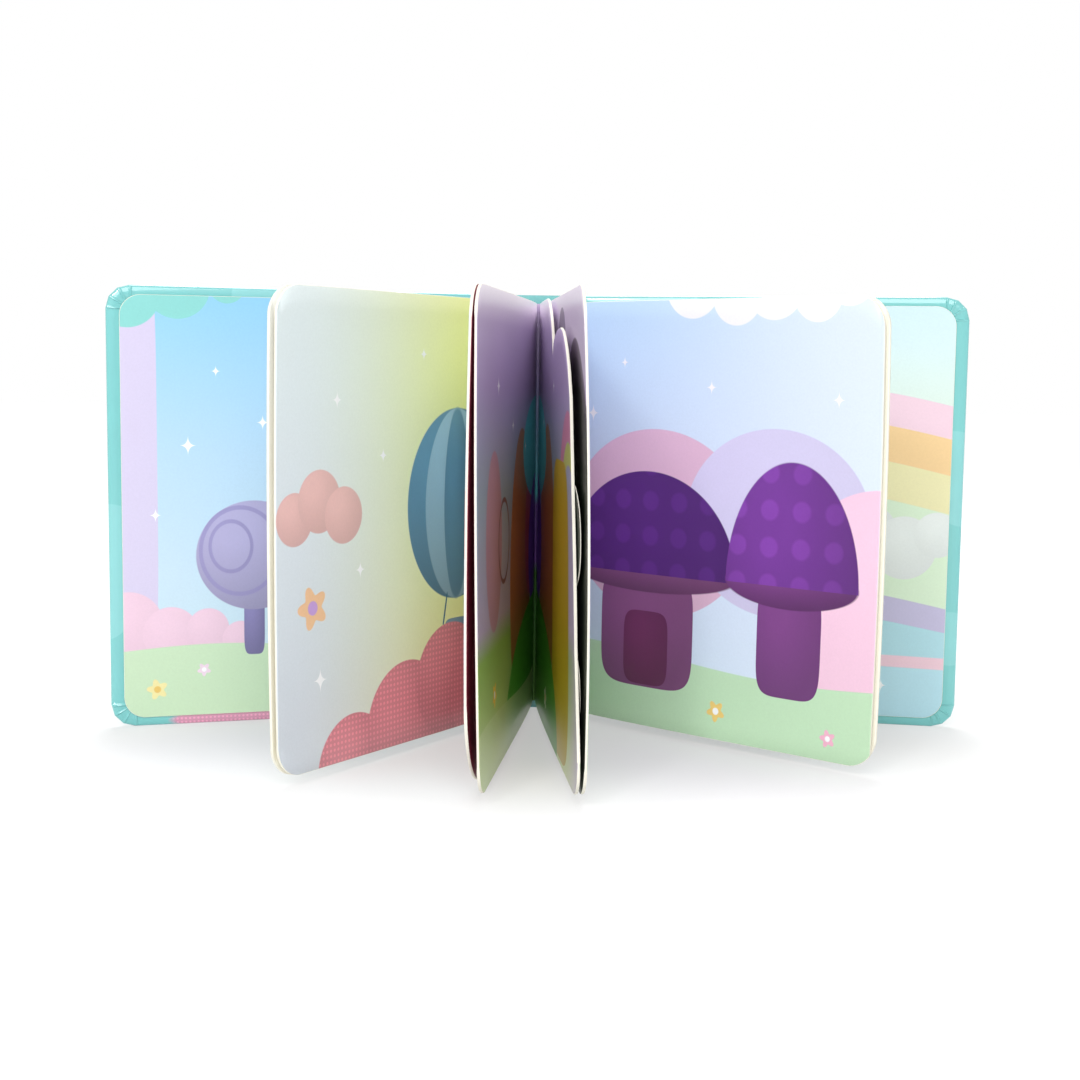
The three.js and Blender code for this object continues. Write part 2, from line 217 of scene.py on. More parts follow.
class MotifShop:
    """Builds one shader group for each motif, and keeps it for every print that uses it.
    Distances are in half sizes of the shape."""

    petals: float = 5.0
    # A flower's edge stands at the second number, and waves by the first.
    petal_wave: tuple[float, float] = (0.2, 0.8)
    # Below 1 the outline draws in to four points, and far above 2 it is a block.
    spark_power: float = 0.5
    block_power: float = 5.0
    # A shape is shaded away from this point, from the first distance to the second.
    lit_point: tuple[float, float, float] = (-0.35, 0.5, 0.0)
    shade_reach: tuple[float, float] = (0.3, 1.5)
    # Where a dot starts and stops to fade, in cells, and how much brighter than its ground it is
    dot_rim: tuple[float, float] = (0.24, 0.32)
    dot_lift: float = 1.3

    def __init__(self) -> None:
        """Starts with no groups."""
        self.groups: dict[Motif, NodeTree] = {}

    def edge(self, tree: NodeTree, motif: Motif, local: Node, given: Node) -> Node:
        """Adds the nodes that give a shape's edge: below 0 inside it and above 0 outside.

        Args:
            tree: The group that gets the nodes.
            motif: Which shape.
            local: The point in units of the shape's half sizes.
            given: The group's input node.

        Returns:
            The node with the edge value.
        """
        flat = add_node(tree, VECTOR, {0: local, 1: ON_THE_PAGE}, operation="MULTIPLY")
        reach = add_node(tree, VECTOR, {0: flat}, operation="LENGTH")
        split = add_node(tree, SPLIT, {0: flat})
        if motif in (Motif.SPOT, Motif.DOTTED):
            return add_node(tree, MATH, {0: reach, 1: 1.0}, operation="SUBTRACT")
        if motif is Motif.RING:
            off = add_node(tree, MATH, {0: reach, 1: 1.0}, operation="SUBTRACT")
            size = add_node(tree, MATH, {0: off}, operation="ABSOLUTE")
            return add_node(tree, MATH, {0: size, 1: given.outputs["Width"]}, operation="SUBTRACT")
        if motif is Motif.FLOWER:
            turn = add_node(tree, MATH, {0: split.outputs[1], 1: split.outputs[0]},
                            operation="ARCTAN2")
            petals = add_node(tree, MATH, {0: turn, 1: self.petals}, operation="MULTIPLY")
            wave = add_node(tree, MATH, {0: petals}, operation="COSINE")
            rim = add_node(tree, MATH, {
                0: wave, 1: self.petal_wave[0], 2: self.petal_wave[1]}, operation="MULTIPLY_ADD")
            return add_node(tree, MATH, {0: reach, 1: rim}, operation="SUBTRACT")
        if motif is Motif.SWELL:
            wave = add_node(tree, MATH, {0: split.outputs[0]}, operation="COSINE")
            return add_node(tree, MATH, {0: split.outputs[1], 1: wave}, operation="SUBTRACT")
        power = self.spark_power if motif is Motif.SPARK else self.block_power
        size = add_node(tree, VECTOR, {0: flat}, operation="ABSOLUTE")
        sides = add_node(tree, SPLIT, {0: size})
        wide = add_node(tree, MATH, {0: sides.outputs[0], 1: power}, operation="POWER")
        high = add_node(tree, MATH, {0: sides.outputs[1], 1: power}, operation="POWER")
        both = add_node(tree, MATH, {0: wide, 1: high}, operation="ADD")
        return add_node(tree, MATH, {0: both, 1: 1.0}, operation="SUBTRACT")

    def build(self, motif: Motif) -> NodeTree:
        """Builds the group that prints one motif over what lies under it.

        Args:
            motif: Which shape.

        Returns:
            The shader group.
        """
        tree = bpy.data.node_groups.new(f"print_{motif.value}", "ShaderNodeTree")
        for name, kind in (
            ("Under", "Color"), ("Ink", "Color"), ("Point", "Vector"), ("Place", "Vector"),
            ("Turn", "Vector"), ("Size", "Vector"), ("Blur", "Float"), ("Cut", "Float"),
            ("Shade", "Float"), ("Width", "Float"),
        ):
            tree.interface.new_socket(name, in_out="INPUT", socket_type=f"NodeSocket{kind}")
        tree.interface.new_socket("Print", in_out="OUTPUT", socket_type="NodeSocketColor")
        given = add_node(tree, "NodeGroupInput")
        local = add_node(tree, "ShaderNodeMapping", {
            "Vector": given.outputs["Point"], "Location": given.outputs["Place"],
            "Rotation": given.outputs["Turn"], "Scale": given.outputs["Size"],
        }, vector_type="TEXTURE")
        edge = self.edge(tree, motif, local, given)
        less = add_node(tree, MATH, {0: given.outputs["Blur"], 1: -1.0}, operation="MULTIPLY")
        mask = add_node(tree, RANGE, {
            "Value": edge, "From Min": less, "From Max": given.outputs["Blur"],
            "To Min": 1.0, "To Max": 0.0})
        split = add_node(tree, SPLIT, {0: local})
        above = add_node(tree, MATH, {
            0: split.outputs[1], 1: given.outputs["Cut"]}, operation="GREATER_THAN")
        share = add_node(tree, MATH, {0: mask, 1: above}, operation="MULTIPLY")
        lit = add_node(tree, VECTOR, {0: local, 1: self.lit_point}, operation="DISTANCE")
        dark = add_node(tree, RANGE, {
            "Value": lit, "From Min": self.shade_reach[0], "From Max": self.shade_reach[1],
            "To Min": 0.0, "To Max": given.outputs["Shade"]})
        keep = add_node(tree, MATH, {0: 1.0, 1: dark}, operation="SUBTRACT")
        ink = add_node(tree, VECTOR, {0: given.outputs["Ink"], "Scale": keep}, operation="SCALE")
        if motif is Motif.DOTTED:
            cells = add_node(tree, MATH, {0: 1.0, 1: given.outputs["Width"]}, operation="DIVIDE")
            cell = add_node(tree, VECTOR, {
                0: given.outputs["Point"], "Scale": cells}, operation="SCALE")
            part = add_node(tree, VECTOR, {0: cell}, operation="FRACTION")
            level = add_node(tree, VECTOR, {0: part, 1: ON_THE_PAGE}, operation="MULTIPLY")
            centred = add_node(tree, VECTOR, {0: level, 1: (0.5, 0.5, 0.0)}, operation="DISTANCE")
            dot = add_node(tree, RANGE, {
                "Value": centred, "From Min": self.dot_rim[0], "From Max": self.dot_rim[1],
                "To Min": self.dot_lift, "To Max": 1.0})
            ink = add_node(tree, VECTOR, {0: ink, "Scale": dot}, operation="SCALE")
        mixed = add_node(tree, MIX, {
            SHARE: share, UNDER: given.outputs["Under"], OVER: ink}, data_type="RGBA")
        add_node(tree, "NodeGroupOutput", {"Print": mixed})
        return tree

    def paint(self, tree: NodeTree, under: Node, point: Node, shapes: Sequence[Shape]) -> Node:
        """Prints shapes in order over a colour.

        Args:
            tree: The material's tree.
            under: The node with the colour under the shapes.
            point: The node with the place on the page in millimetres.
            shapes: The shapes, the lowest first.

        Returns:
            The node with the printed colour.
        """
        for shape in shapes:
            if shape.motif not in self.groups:
                self.groups[shape.motif] = self.build(shape.motif)
            under = add_node(tree, "ShaderNodeGroup", {
                "Under": under, "Point": point, "Ink": linear(shape.ink),
                "Place": (shape.x, shape.y, 0.0), "Size": (shape.w, shape.h, 1.0),
                "Turn": (0.0, 0.0, math.radians(shape.turn)), "Cut": shape.cut,
                "Blur": PRINT_BLUR / min(shape.w, shape.h), "Shade": shape.shade,
                "Width": shape.width}, node_tree=self.groups[shape.motif])
        return under


# Printed edges blur over a fifth of a millimetre.
PRINT_BLUR = 0.2
MOTIFS = MotifShop()


def cloud(spots: Sequence[tuple[float, float, float]], ink: str, shade: float) -> list[Shape]:
    """Makes a scalloped cloud from round spots, given as x, y and radius."""
    return [Shape(Motif.SPOT, x, y, r, r, ink, shade) for x, y, r in spots]


def sparks(places: Sequence[tuple[float, float, float]], ink: str = "#FFFFFF") -> list[Shape]:
    """Makes four-pointed sparks, given as x, y and size."""
    return [Shape(Motif.SPARK, x, y, r * 0.8, r, ink) for x, y, r in places]


def flower(x: float, y: float, size: float, petal: str, heart: str) -> list[Shape]:
    """Makes a five-petalled flower with a round heart.

    Args:
        x: Its middle, across the page.
        y: Its middle, up the page.
        size: The length of its petals.
        petal: The ink of the petals.
        heart: The ink of the heart.

    Returns:
        Its shapes, the lowest first.
    """
    return [
        Shape(Motif.FLOWER, x, y, size, size, petal, turn=18 + x),
        Shape(Motif.SPOT, x, y, size * 0.32, size * 0.32, heart),
    ]


def mushroom(
    x: float, foot: float, stem: tuple[float, float], cap: tuple[float, float],
    inks: tuple[str, str],
) -> list[Shape]:
    """Makes a toadstool with a domed, spotted cap.

    Args:
        x: Its middle.
        foot: The height of its foot.
        stem: Half width and height of the stem.
        cap: Half width and height of the cap.
        inks: The inks of the stem and of the cap.

    Returns:
        Its shapes, the lowest first.
    """
    top = foot + stem[1]
    return [
        Shape(Motif.BLOCK, x, foot + stem[1] / 2, stem[0], stem[1] / 2, inks[0], 0.3),
        Shape(Motif.SPOT, x, top, cap[0], cap[1] * 0.2, inks[0], 0.5),
        Shape(Motif.DOTTED, x, top - 1, cap[0], cap[1], inks[1], 0.45, cut=0.0, width=15),
    ]


@dataclass(frozen=True)
class PagePrint:
    """The print of one page: a sky that changes with height and towards one side, and shapes."""

    name: str
    sky: tuple[tuple[float, str], ...]
    side: tuple[float, float, str]
    shapes: tuple[Shape, ...]

    def colour(self, tree: NodeTree, page: Node) -> Node:
        """Adds the nodes of the print.

        Args:
            tree: The material's tree.
            page: The node with the place on the page, from 0 to 1 both ways.

        Returns:
            The node with the printed colour.
        """
        point = add_node(tree, VECTOR, {
            0: page, 1: (LEAF_WIDTH, LEAF_HEIGHT, 0.0)}, operation="MULTIPLY")
        split = add_node(tree, SPLIT, {0: page})
        ramp = add_node(tree, "ShaderNodeValToRGB", {0: split.outputs[1]})
        fill_ramp(ramp, self.sky)
        start, end, ink = self.side
        share = add_node(tree, RANGE, {
            "Value": split.outputs[0], "From Min": start, "From Max": end},
            interpolation_type="SMOOTHSTEP")
        sky = add_node(tree, MIX, {SHARE: share, UNDER: ramp, OVER: linear(ink)}, data_type="RGBA")
        return MOTIFS.paint(tree, sky, point, self.shapes)


# Finishes


@dataclass(frozen=True)
class LaminatedPrint:
    """Offset print on coated card under a clear gloss film. The film is smooth, with a slow
    waviness from the glue and the press, so it takes broad soft reflections. grain and wave
    are sizes in millimetres."""

    design: PagePrint
    # The film's real grain is about 0.1 mm. That is too fine to show, so it is drawn coarser.
    grain: float = 0.9
    wave: float = 45.0
    # It stays above 0.27, where the denoiser starts to see a mirror.
    roughness: tuple[float, float] = (0.3, 0.4)

    def build(self) -> Material:
        """Builds the material, which reads the page's own UV map.

        Returns:
            The material.
        """
        material, tree = start_material(f"laminated_print_{self.design.name}")
        page = add_node(tree, "ShaderNodeUVMap", uv_map="page")
        colour = self.design.colour(tree, page)
        place = result(add_node(tree, COORDINATES), "Object")
        grain = add_node(tree, NOISE, {
            "Vector": place, "Scale": 1 / (self.grain * MM), "Detail": 3.0})
        flecks = add_node(tree, RANGE, {
            "Value": grain, "From Min": 0.3, "From Max": 0.7, "To Min": 0.965, "To Max": 1.0})
        toned = add_node(tree, VECTOR, {0: colour, "Scale": flecks}, operation="SCALE")
        waves = add_node(tree, NOISE, {
            "Vector": place, "Scale": 1 / (self.wave * MM), "Detail": 0.0})
        bump = add_node(tree, BUMP, {"Strength": 0.2, "Distance": 0.01 * MM, "Height": grain})
        film = add_node(tree, RANGE, {
            "Value": waves, "To Min": self.roughness[0], "To Max": self.roughness[1]})
        shader = add_node(tree, GLOSS, {
            "Base Color": toned, "Roughness": film, "IOR": 1.5,
            "Specular IOR Level": 0.5, "Normal": bump})
        add_node(tree, "ShaderNodeOutputMaterial", {"Surface": shader})
        return material


@dataclass(frozen=True)
class CutCard:
    """Die-cut edge of coated card: matt cream pulp in fine plies, with a film at both faces.
    ply and scuff are sizes in millimetres."""

    name: str = "cut_card_edge"
    colour: str = "#FBF7E8"
    ply: float = 0.28
    scuff: float = 9.0

    def build(self) -> Material:
        """Builds the material.

        Returns:
            The material.
        """
        material, tree = start_material(self.name)
        place = result(add_node(tree, COORDINATES), "Object")
        fibre = add_node(tree, NOISE, {
            "Vector": place, "Scale": 1 / (self.ply * MM), "Detail": 4.0})
        scuffs = add_node(tree, NOISE, {
            "Vector": place, "Scale": 1 / (self.scuff * MM), "Detail": 2.0})
        tone = add_node(tree, RANGE, {
            "Value": fibre, "From Min": 0.3, "From Max": 0.7, "To Min": 0.93, "To Max": 1.0})
        worn = add_node(tree, RANGE, {
            "Value": scuffs, "From Min": 0.35, "From Max": 0.6, "To Min": 0.95, "To Max": 1.0})
        both = add_node(tree, MATH, {0: tone, 1: worn}, operation="MULTIPLY")
        colour = add_node(tree, VECTOR, {
            0: linear(self.colour)[:3], "Scale": both}, operation="SCALE")
        bump = add_node(tree, BUMP, {"Strength": 0.3, "Distance": 0.05 * MM, "Height": fibre})
        shader = add_node(tree, GLOSS, {
            "Base Color": colour, "Roughness": 0.75, "IOR": 1.45, "Normal": bump})
        add_node(tree, "ShaderNodeOutputMaterial", {"Surface": shader})
        return material


@dataclass(frozen=True)
class CaseWrap:
    """Turquoise printed paper under gloss film, drawn tight over padded board. It shows a soft
    sheen on the padded edges, fine paper grain, and pale scallops in the print. grain and
    ripple are sizes in millimetres."""

    name: str = "laminated_wrap"
    colour: str = "#78C8C7"
    scallop: str = "#87D0D0"
    band: str = "#D795B0"
    # The paper's real grain is about 0.1 mm. That is too fine to show, so it is drawn coarser.
    grain: float = 0.8
    ripple: float = 16.0
    # Middle and radius of each scallop, on the book seen from the front
    scallops: tuple[tuple[float, float, float], ...] = (
        (-182, 84, 13), (-176, 66, 15), (-186, 50, 12), (-120, 187, 12), (-104, 190, 15),
        (-84, 188, 11), (183, 120, 12), (188, 104, 14), (184, 40, 12), (120, 189, 13),
        (136, 191, 12), (60, 190, 11))

    def build(self) -> Material:
        """Builds the material on object coordinates.

        Returns:
            The material.
        """
        material, tree = start_material(self.name)
        place = result(add_node(tree, COORDINATES), "Object")
        split = add_node(tree, SPLIT, {0: place})
        upright = add_node(tree, JOIN, {0: split.outputs[0], 1: split.outputs[2], 2: 0.0})
        point = add_node(tree, VECTOR, {0: upright, "Scale": 1 / MM}, operation="SCALE")
        base = add_node(tree, "ShaderNodeRGB")
        base.outputs[0].default_value = linear(self.colour)
        bank = Shape(Motif.DOTTED, -92, 2, 66, 7, self.band, width=1.7)
        colour = MOTIFS.paint(tree, base, point, [
            *cloud(self.scallops, self.scallop, 0.0), bank])
        grain = add_node(tree, NOISE, {
            "Vector": place, "Scale": 1 / (self.grain * MM), "Detail": 3.0})
        slow = add_node(tree, NOISE, {
            "Vector": place, "Scale": 1 / (self.ripple * MM), "Detail": 2.0})
        tone = add_node(tree, RANGE, {
            "Value": slow, "From Min": 0.3, "From Max": 0.7, "To Min": 0.98, "To Max": 1.01})
        toned = add_node(tree, VECTOR, {0: colour, "Scale": tone}, operation="SCALE")
        height = add_node(tree, MATH, {0: grain, 1: 0.06, 2: slow}, operation="MULTIPLY_ADD")
        bump = add_node(tree, BUMP, {"Strength": 0.35, "Distance": 0.4 * MM, "Height": height})
        shader = add_node(tree, GLOSS, {
            "Base Color": toned, "Roughness": 0.3, "IOR": 1.5,
            "Coat Weight": 1.0, "Coat Roughness": 0.07, "Normal": bump})
        add_node(tree, "ShaderNodeOutputMaterial", {"Surface": shader})
        return material


@dataclass(frozen=True)
class GutterPrint:
    """The printed card where it folds: the film is stretched smooth there, so it shines, and
    the inks run on from the pages beside it, darkened as painted shade deep in the gutter.
    grain is in millimetres."""

    name: str = "folded_print_and_shade"
    # Coarser than the real 0.1 mm, as on the pages
    grain: float = 0.9
    # The pages' inks up the fold, darker than on the pages: painted shade of the deep gutter.
    inks: tuple[tuple[float, str], ...] = (
        (0.0, "#5E8A44"), (0.2, "#3F7A30"), (0.33, "#3E6A2C"), (0.36, "#6A3C8E"),
        (0.5, "#6A4A90"), (0.53, "#58AFB8"), (0.7, "#7E97B4"), (0.82, "#A999C4"),
        (1.0, "#D8C8E4"))

    def build(self) -> Material:
        """Builds the material on object coordinates.

        Returns:
            The material.
        """
        material, tree = start_material(self.name)
        place = result(add_node(tree, COORDINATES), "Object")
        split = add_node(tree, SPLIT, {0: place})
        rise = add_node(tree, RANGE, {
            "Value": split.outputs[2], "From Min": FOOT * MM,
            "From Max": (FOOT + LEAF_HEIGHT) * MM})
        ramp = add_node(tree, "ShaderNodeValToRGB", {0: rise})
        fill_ramp(ramp, self.inks)
        grain = add_node(tree, NOISE, {
            "Vector": place, "Scale": 1 / (self.grain * MM), "Detail": 3.0})
        bump = add_node(tree, BUMP, {"Strength": 0.2, "Distance": 0.02 * MM, "Height": grain})
        shader = add_node(tree, GLOSS, {
            "Base Color": ramp, "Roughness": 0.2, "IOR": 1.5, "Normal": bump})
        add_node(tree, "ShaderNodeOutputMaterial", {"Surface": shader})
        return material


@dataclass(frozen=True)
class PlainCard:
    """Coated card without film, tinted: it is matt, with fine fibres and slow mottling. The
    pop ups and the strips beside the hinges have it. fibre and mottle are in millimetres."""

    name: str
    colour: str
    roughness: float = 0.5
    # Real fibres are under 0.1 mm wide. They are too fine to show, so they are drawn coarser.
    fibre: float = 0.6
    mottle: float = 22.0

    def build(self) -> Material:
        """Builds the material on object coordinates.

        Returns:
            The material.
        """
        material, tree = start_material(self.name)
        place = result(add_node(tree, COORDINATES), "Object")
        grain = add_node(tree, NOISE, {
            "Vector": place, "Scale": 1 / (self.fibre * MM), "Detail": 3.0})
        slow = add_node(tree, NOISE, {
            "Vector": place, "Scale": 1 / (self.mottle * MM), "Detail": 1.0})
        both = add_node(tree, MATH, {0: grain, 1: 0.3, 2: slow}, operation="MULTIPLY_ADD")
        tone = add_node(tree, RANGE, {
            "Value": both, "From Min": 0.4, "From Max": 0.9, "To Min": 0.9, "To Max": 1.0})
        colour = add_node(tree, VECTOR, {
            0: linear(self.colour)[:3], "Scale": tone}, operation="SCALE")
        bump = add_node(tree, BUMP, {"Strength": 0.3, "Distance": 0.05 * MM, "Height": grain})
        shader = add_node(tree, GLOSS, {
            "Base Color": colour, "Roughness": self.roughness, "IOR": 1.47, "Normal": bump})
        add_node(tree, "ShaderNodeOutputMaterial", {"Surface": shader})
        return material


# Meshes


def new_piece(name: str, mesh: Mesh) -> Object:
    """Links a mesh into the scene as a piece at the origin.

    Args:
        name: The piece's name.
        mesh: Its mesh.

    Returns:
        The piece.
    """
    piece = bpy.data.objects.new(name, mesh)
    bpy.context.scene.collection.objects.link(piece)
    return piece


def finished(piece: Object) -> Object:
    """Turns a piece with modifiers into a plain mesh.

    Args:
        piece: The object with live modifiers.

    Returns:
        The same object, with the evaluated mesh and no modifiers.
    """
    bpy.context.view_layer.update()
    graph = bpy.context.evaluated_depsgraph_get()
    mesh = bpy.data.meshes.new_from_object(piece.evaluated_get(graph))
    mesh.name = piece.name
    piece.modifiers.clear()
    piece.data = mesh
    return piece


def face_outwards(mesh: Mesh, smooth_angle: float) -> None:
    """Turns a closed mesh's faces outwards and shades it.

    Args:
        mesh: The mesh.
        smooth_angle: Faces that meet at less than this many degrees are shaded smooth.
    """
    work = bmesh.new()
    work.from_mesh(mesh)
    bmesh.ops.recalc_face_normals(work, faces=work.faces)
    work.to_mesh(mesh)
    work.free()
    mesh.shade_smooth()
    mesh.set_sharp_from_angle(angle=math.radians(smooth_angle))


def tube_faces(levels: int, count: int) -> list[tuple[int, ...]]:
    """Gives the faces of a closed tube of stacked rings.

    Args:
        levels: How many rings there are.
        count: How many corners each ring has.

    Returns:
        The corner numbers of each face: the sides, then the first end and the last end.
    """
    sides = [
        (base + j, base + (j + 1) % count, base + count + (j + 1) % count, base + count + j)
        for base in range(0, (levels - 1) * count, count) for j in range(count)]
    return [*sides, tuple(range(count)), tuple(range((levels - 1) * count, levels * count))]


def dress_node(name: str, material: Material) -> None:
    """Gives a CAD node its finish."""
    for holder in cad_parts[name].material_slots:
        holder.material = material


def mesh_from(
    name: str, points: Sequence[Sequence[float]], faces: Sequence[Sequence[int]],
    smooth_angle: float = 40.0,
) -> Mesh:
    """Makes a mesh from points in metres, with its faces outwards.

    Args:
        name: The mesh's name.
        points: The corners.
        faces: The corner numbers of each face.
        smooth_angle: Faces that meet at less than this many degrees are shaded smooth.

    Returns:
        The mesh.
    """
    mesh = bpy.data.meshes.new(name)
    mesh.from_pydata([tuple(p) for p in points], [], [tuple(f) for f in faces])
    face_outwards(mesh, smooth_angle)
    return mesh


def add_inputs(piece: Object, tree: NodeTree, values: dict[str, object]) -> None:
    """Puts a geometry tree on a piece and sets its inputs by their identifiers.

    Args:
        piece: The object that gets the modifier.
        tree: The geometry tree.
        values: A value for each named input.
    """
    modifier = piece.modifiers.new(tree.name, "NODES")
    modifier.node_group = tree
    for item in tree.interface.items_tree:
        if item.in_out == "INPUT" and item.name in values:
            modifier[item.identifier] = values[item.name]


def geometry_tree(name: str, inputs: Sequence[tuple[str, str]]) -> tuple[NodeTree, Node]:
    """Starts a geometry tree with named inputs and one geometry output.

    Args:
        name: The tree's name.
        inputs: Name and socket kind of each input.

    Returns:
        The tree and its input node.
    """
    tree = bpy.data.node_groups.new(name, "GeometryNodeTree")
    for label, kind in inputs:
        tree.interface.new_socket(label, in_out="INPUT", socket_type=f"NodeSocket{kind}")
    tree.interface.new_socket("Geometry", in_out="OUTPUT", socket_type="NodeSocketGeometry")
    return tree, add_node(tree, "NodeGroupInput")


@dataclass(frozen=True)
class Leaf:
    """One stiff leaf. Angles are from straight towards the reader to the right, in degrees.
    lean and bow say how far its free edge's top and middle stand to the right."""

    start: float
    end: float
    lean: float
    bow: float
    left: str
    right: str
    low_corner: float = 12.0
    low_shift: float = 0.0
    die_cut: bool = False


@dataclass
class PageBlock:
    """The folded cards, glued back to back into eight leaves."""

    leaves: tuple[Leaf, ...]
    card: float = 0.56
    fold_pitch: float = 2.31
    fold_rise: float = 3.0
    fold_arm: float = 0.8
    spine_thickness: float = 2.2
    clearance: float = 0.3
    corner: float = 12.0
    bend_length: float = 20.0
    edge_round: float = 0.16
    rows: int = 24
    column_gap: float = 2.5
    least_gap: float = 0.3
    corner_steps: int = 10
    guide_points: int = 178
    walk_points: int = 60
    fold_steps: int = 16
    fold_play: float = 0.01
    cut_columns: int = 86
    cut_step: float = 0.008
    # The die-cut leaf's top: share of the width, and depth below a whole leaf's top
    die_cut: tuple[tuple[float, float], ...] = (
        (0.3, 0), (0.35, 1.6), (0.395, 5.5), (0.43, 9.7), (0.453, 13.8), (0.47, 19),
        (0.478, 24.2), (0.488, 20.5), (0.51, 18), (0.55, 15.8), (0.61, 14.2), (0.69, 13.8),
        (0.74, 15.2), (0.78, 18), (0.82, 22.4), (0.855, 28), (0.89, 39), (0.9, 58),
        (0.91, 75), (0.93, 100), (0.945, 128), (0.975, 150), (1, 168),
    )
    tree: NodeTree | None = field(default=None, init=False)

    @property
    def fold_radius(self) -> float:
        """Outer radius of a fold."""
        return self.fold_pitch / 2

    @property
    def gutter(self) -> float:
        """How far the middle fold stands towards the reader, as a y value."""
        return -(self.spine_thickness / 2 + self.clearance + self.fold_radius + self.fold_rise)

    def fold(self, number: int) -> tuple[float, float]:
        """Gives the place of a fold.

        Args:
            number: The fold's number from the left, from 0.

        Returns:
            Its x and y.
        """
        count = len(self.leaves)
        x = (number - count / 2) * self.fold_pitch
        return x, self.gutter + self.fold_rise * (2 * x / (count * self.fold_pitch)) ** 2

    def root(self, index: int) -> tuple[float, float]:
        """Gives the x and y of a leaf's root, midway between two folds."""
        (x0, y0), (x1, y1) = self.fold(index), self.fold(index + 1)
        return (x0 + x1) / 2, min(y0, y1) - self.fold_arm / 2

    def inset(self, s: float, radius: float, shift: float = 0.0) -> float:
        """Gives how far a round corner takes the edge in at a distance from the fold."""
        past = s - (LEAF_WIDTH - radius + shift)
        return 0.0 if past <= 0 else radius - math.sqrt(max(radius ** 2 - past ** 2, 0.0))

    def die_cut_depth(self, s: float) -> float:
        """Gives how far the die-cut leaf's top lies below a whole leaf's."""
        shares = [share for share, _ in self.die_cut]
        return float(np.interp(s / LEAF_WIDTH, shares, [depth for _, depth in self.die_cut]))

    def stations(self, leaf: Leaf) -> list[float]:
        """Gives the distances from the fold at which the leaf's mesh has a column.

        Args:
            leaf: The leaf.

        Returns:
            The distances in millimetres, closer at its corners and its die cut.
        """
        found = [0.0, 1.5, 3.0] + [self.column_gap * i for i in range(2, 70)]
        for radius in (self.corner, leaf.low_corner):
            for step in range(self.corner_steps + 1):
                turn = step * math.pi / (2 * self.corner_steps)
                found.append(LEAF_WIDTH - radius * (1 - math.sin(turn)))
        if leaf.die_cut:
            found += [share * LEAF_WIDTH for share, _ in self.die_cut]
            found += [LEAF_WIDTH * (self.die_cut[0][0] + self.cut_step * i)
                      for i in range(self.cut_columns)]
        found = sorted(s for s in found if s < LEAF_WIDTH - 0.4)
        kept = [found[0]]
        for s in found[1:]:
            if s - kept[-1] > self.least_gap:
                kept.append(s)
        return kept + [LEAF_WIDTH - self.edge_round, LEAF_WIDTH]

    def point(self, index: int, s: float, off: float, z: float) -> tuple[float, float]:
        """Gives the plan position of a point beside a leaf.

        Args:
            index: The leaf's number from the left, from 0.
            s: The distance from the fold along the leaf.
            off: The distance to the right of its middle.
            z: The height.

        Returns:
            The x and y, in millimetres.
        """
        leaf = self.leaves[index]
        steps = np.linspace(0, s, self.walk_points)
        middle = (steps[1:] + steps[:-1]) / 2
        swing = math.radians(leaf.start - leaf.end)
        turn = math.radians(leaf.end) + swing * np.exp(-middle / self.bend_length)
        gap = steps[1] - steps[0]
        x, y = self.root(index)
        x, y = x + np.sin(turn).sum() * gap, y - np.cos(turn).sum() * gap
        rise = min(max((z - FOOT) / LEAF_HEIGHT, 0), 1)
        sway = leaf.lean * (rise - 0.5) + leaf.bow * (1 - (2 * rise - 1) ** 2)
        off += sway * (s / LEAF_WIDTH) ** 1.5
        return x + off * math.cos(turn[-1]), y + off * math.sin(turn[-1])

    def flat_sheet(self, leaf: Leaf, name: str) -> Mesh:
        """Makes the leaf flat, with x along it from the fold and y through it.

        Args:
            leaf: The leaf.
            name: The mesh's name.

        Returns:
            A closed mesh with a page UV map and a side number on each face: 0 for the cut
            edge, 1 for the left face and 2 for the right face.
        """
        half = self.card
        soft = self.edge_round
        points: list[tuple[float, float, float]] = []
        rows = self.rows
        ring = 2 * (rows + 1) + 4
        stations = self.stations(leaf)
        for s in stations:
            tip = soft if s > LEAF_WIDTH - soft / 2 else 0.0
            low = FOOT + self.inset(s, leaf.low_corner, leaf.low_shift)
            top = self.die_cut_depth(s) if leaf.die_cut else self.inset(s, self.corner)
            high = FOOT + LEAF_HEIGHT - top
            face = half - tip
            for k in range(rows + 1):
                points.append((s, face, low + soft + (high - low - 2 * soft) * k / rows))
            points.append((s, half - soft, high - tip))
            points.append((s, soft - half, high - tip))
            for k in range(rows, -1, -1):
                points.append((s, -face, low + soft + (high - low - 2 * soft) * k / rows))
            points.append((s, soft - half, low + tip))
            points.append((s, half - soft, low + tip))
        faces = tube_faces(len(stations), ring)[:-2]
        sides = [2 if j < rows else 1 if rows + 3 <= j < 2 * rows + 3 else 0
                 for _ in stations[1:] for j in range(ring)]
        for base in (0, (len(stations) - 1) * ring):
            for k in range(rows):
                back = 2 * rows + 3 - k
                faces.append((base + k, base + k + 1, base + back - 1, base + back))
                sides.append(0)
            faces.append((base + rows, base + rows + 1, base + rows + 2, base + rows + 3))
            faces.append((base, base + 2 * rows + 3, base + 2 * rows + 4, base + ring - 1))
            sides += [0, 0]
        mesh = bpy.data.meshes.new(name)
        mesh.from_pydata([tuple(c * MM for c in p) for p in points], [], faces)
        number = mesh.attributes.new("side", "INT", "FACE")
        number.data.foreach_set("value", sides)
        page = mesh.uv_layers.new(name="page")
        for polygon, side in zip(mesh.polygons, sides):
            for loop in polygon.loop_indices:
                s, _, z = points[mesh.loops[loop].vertex_index]
                across = s / LEAF_WIDTH
                page.data[loop].uv = (across if side == 1 else 1 - across,
                                      (z - FOOT) / LEAF_HEIGHT)
        face_outwards(mesh, 60)
        return mesh

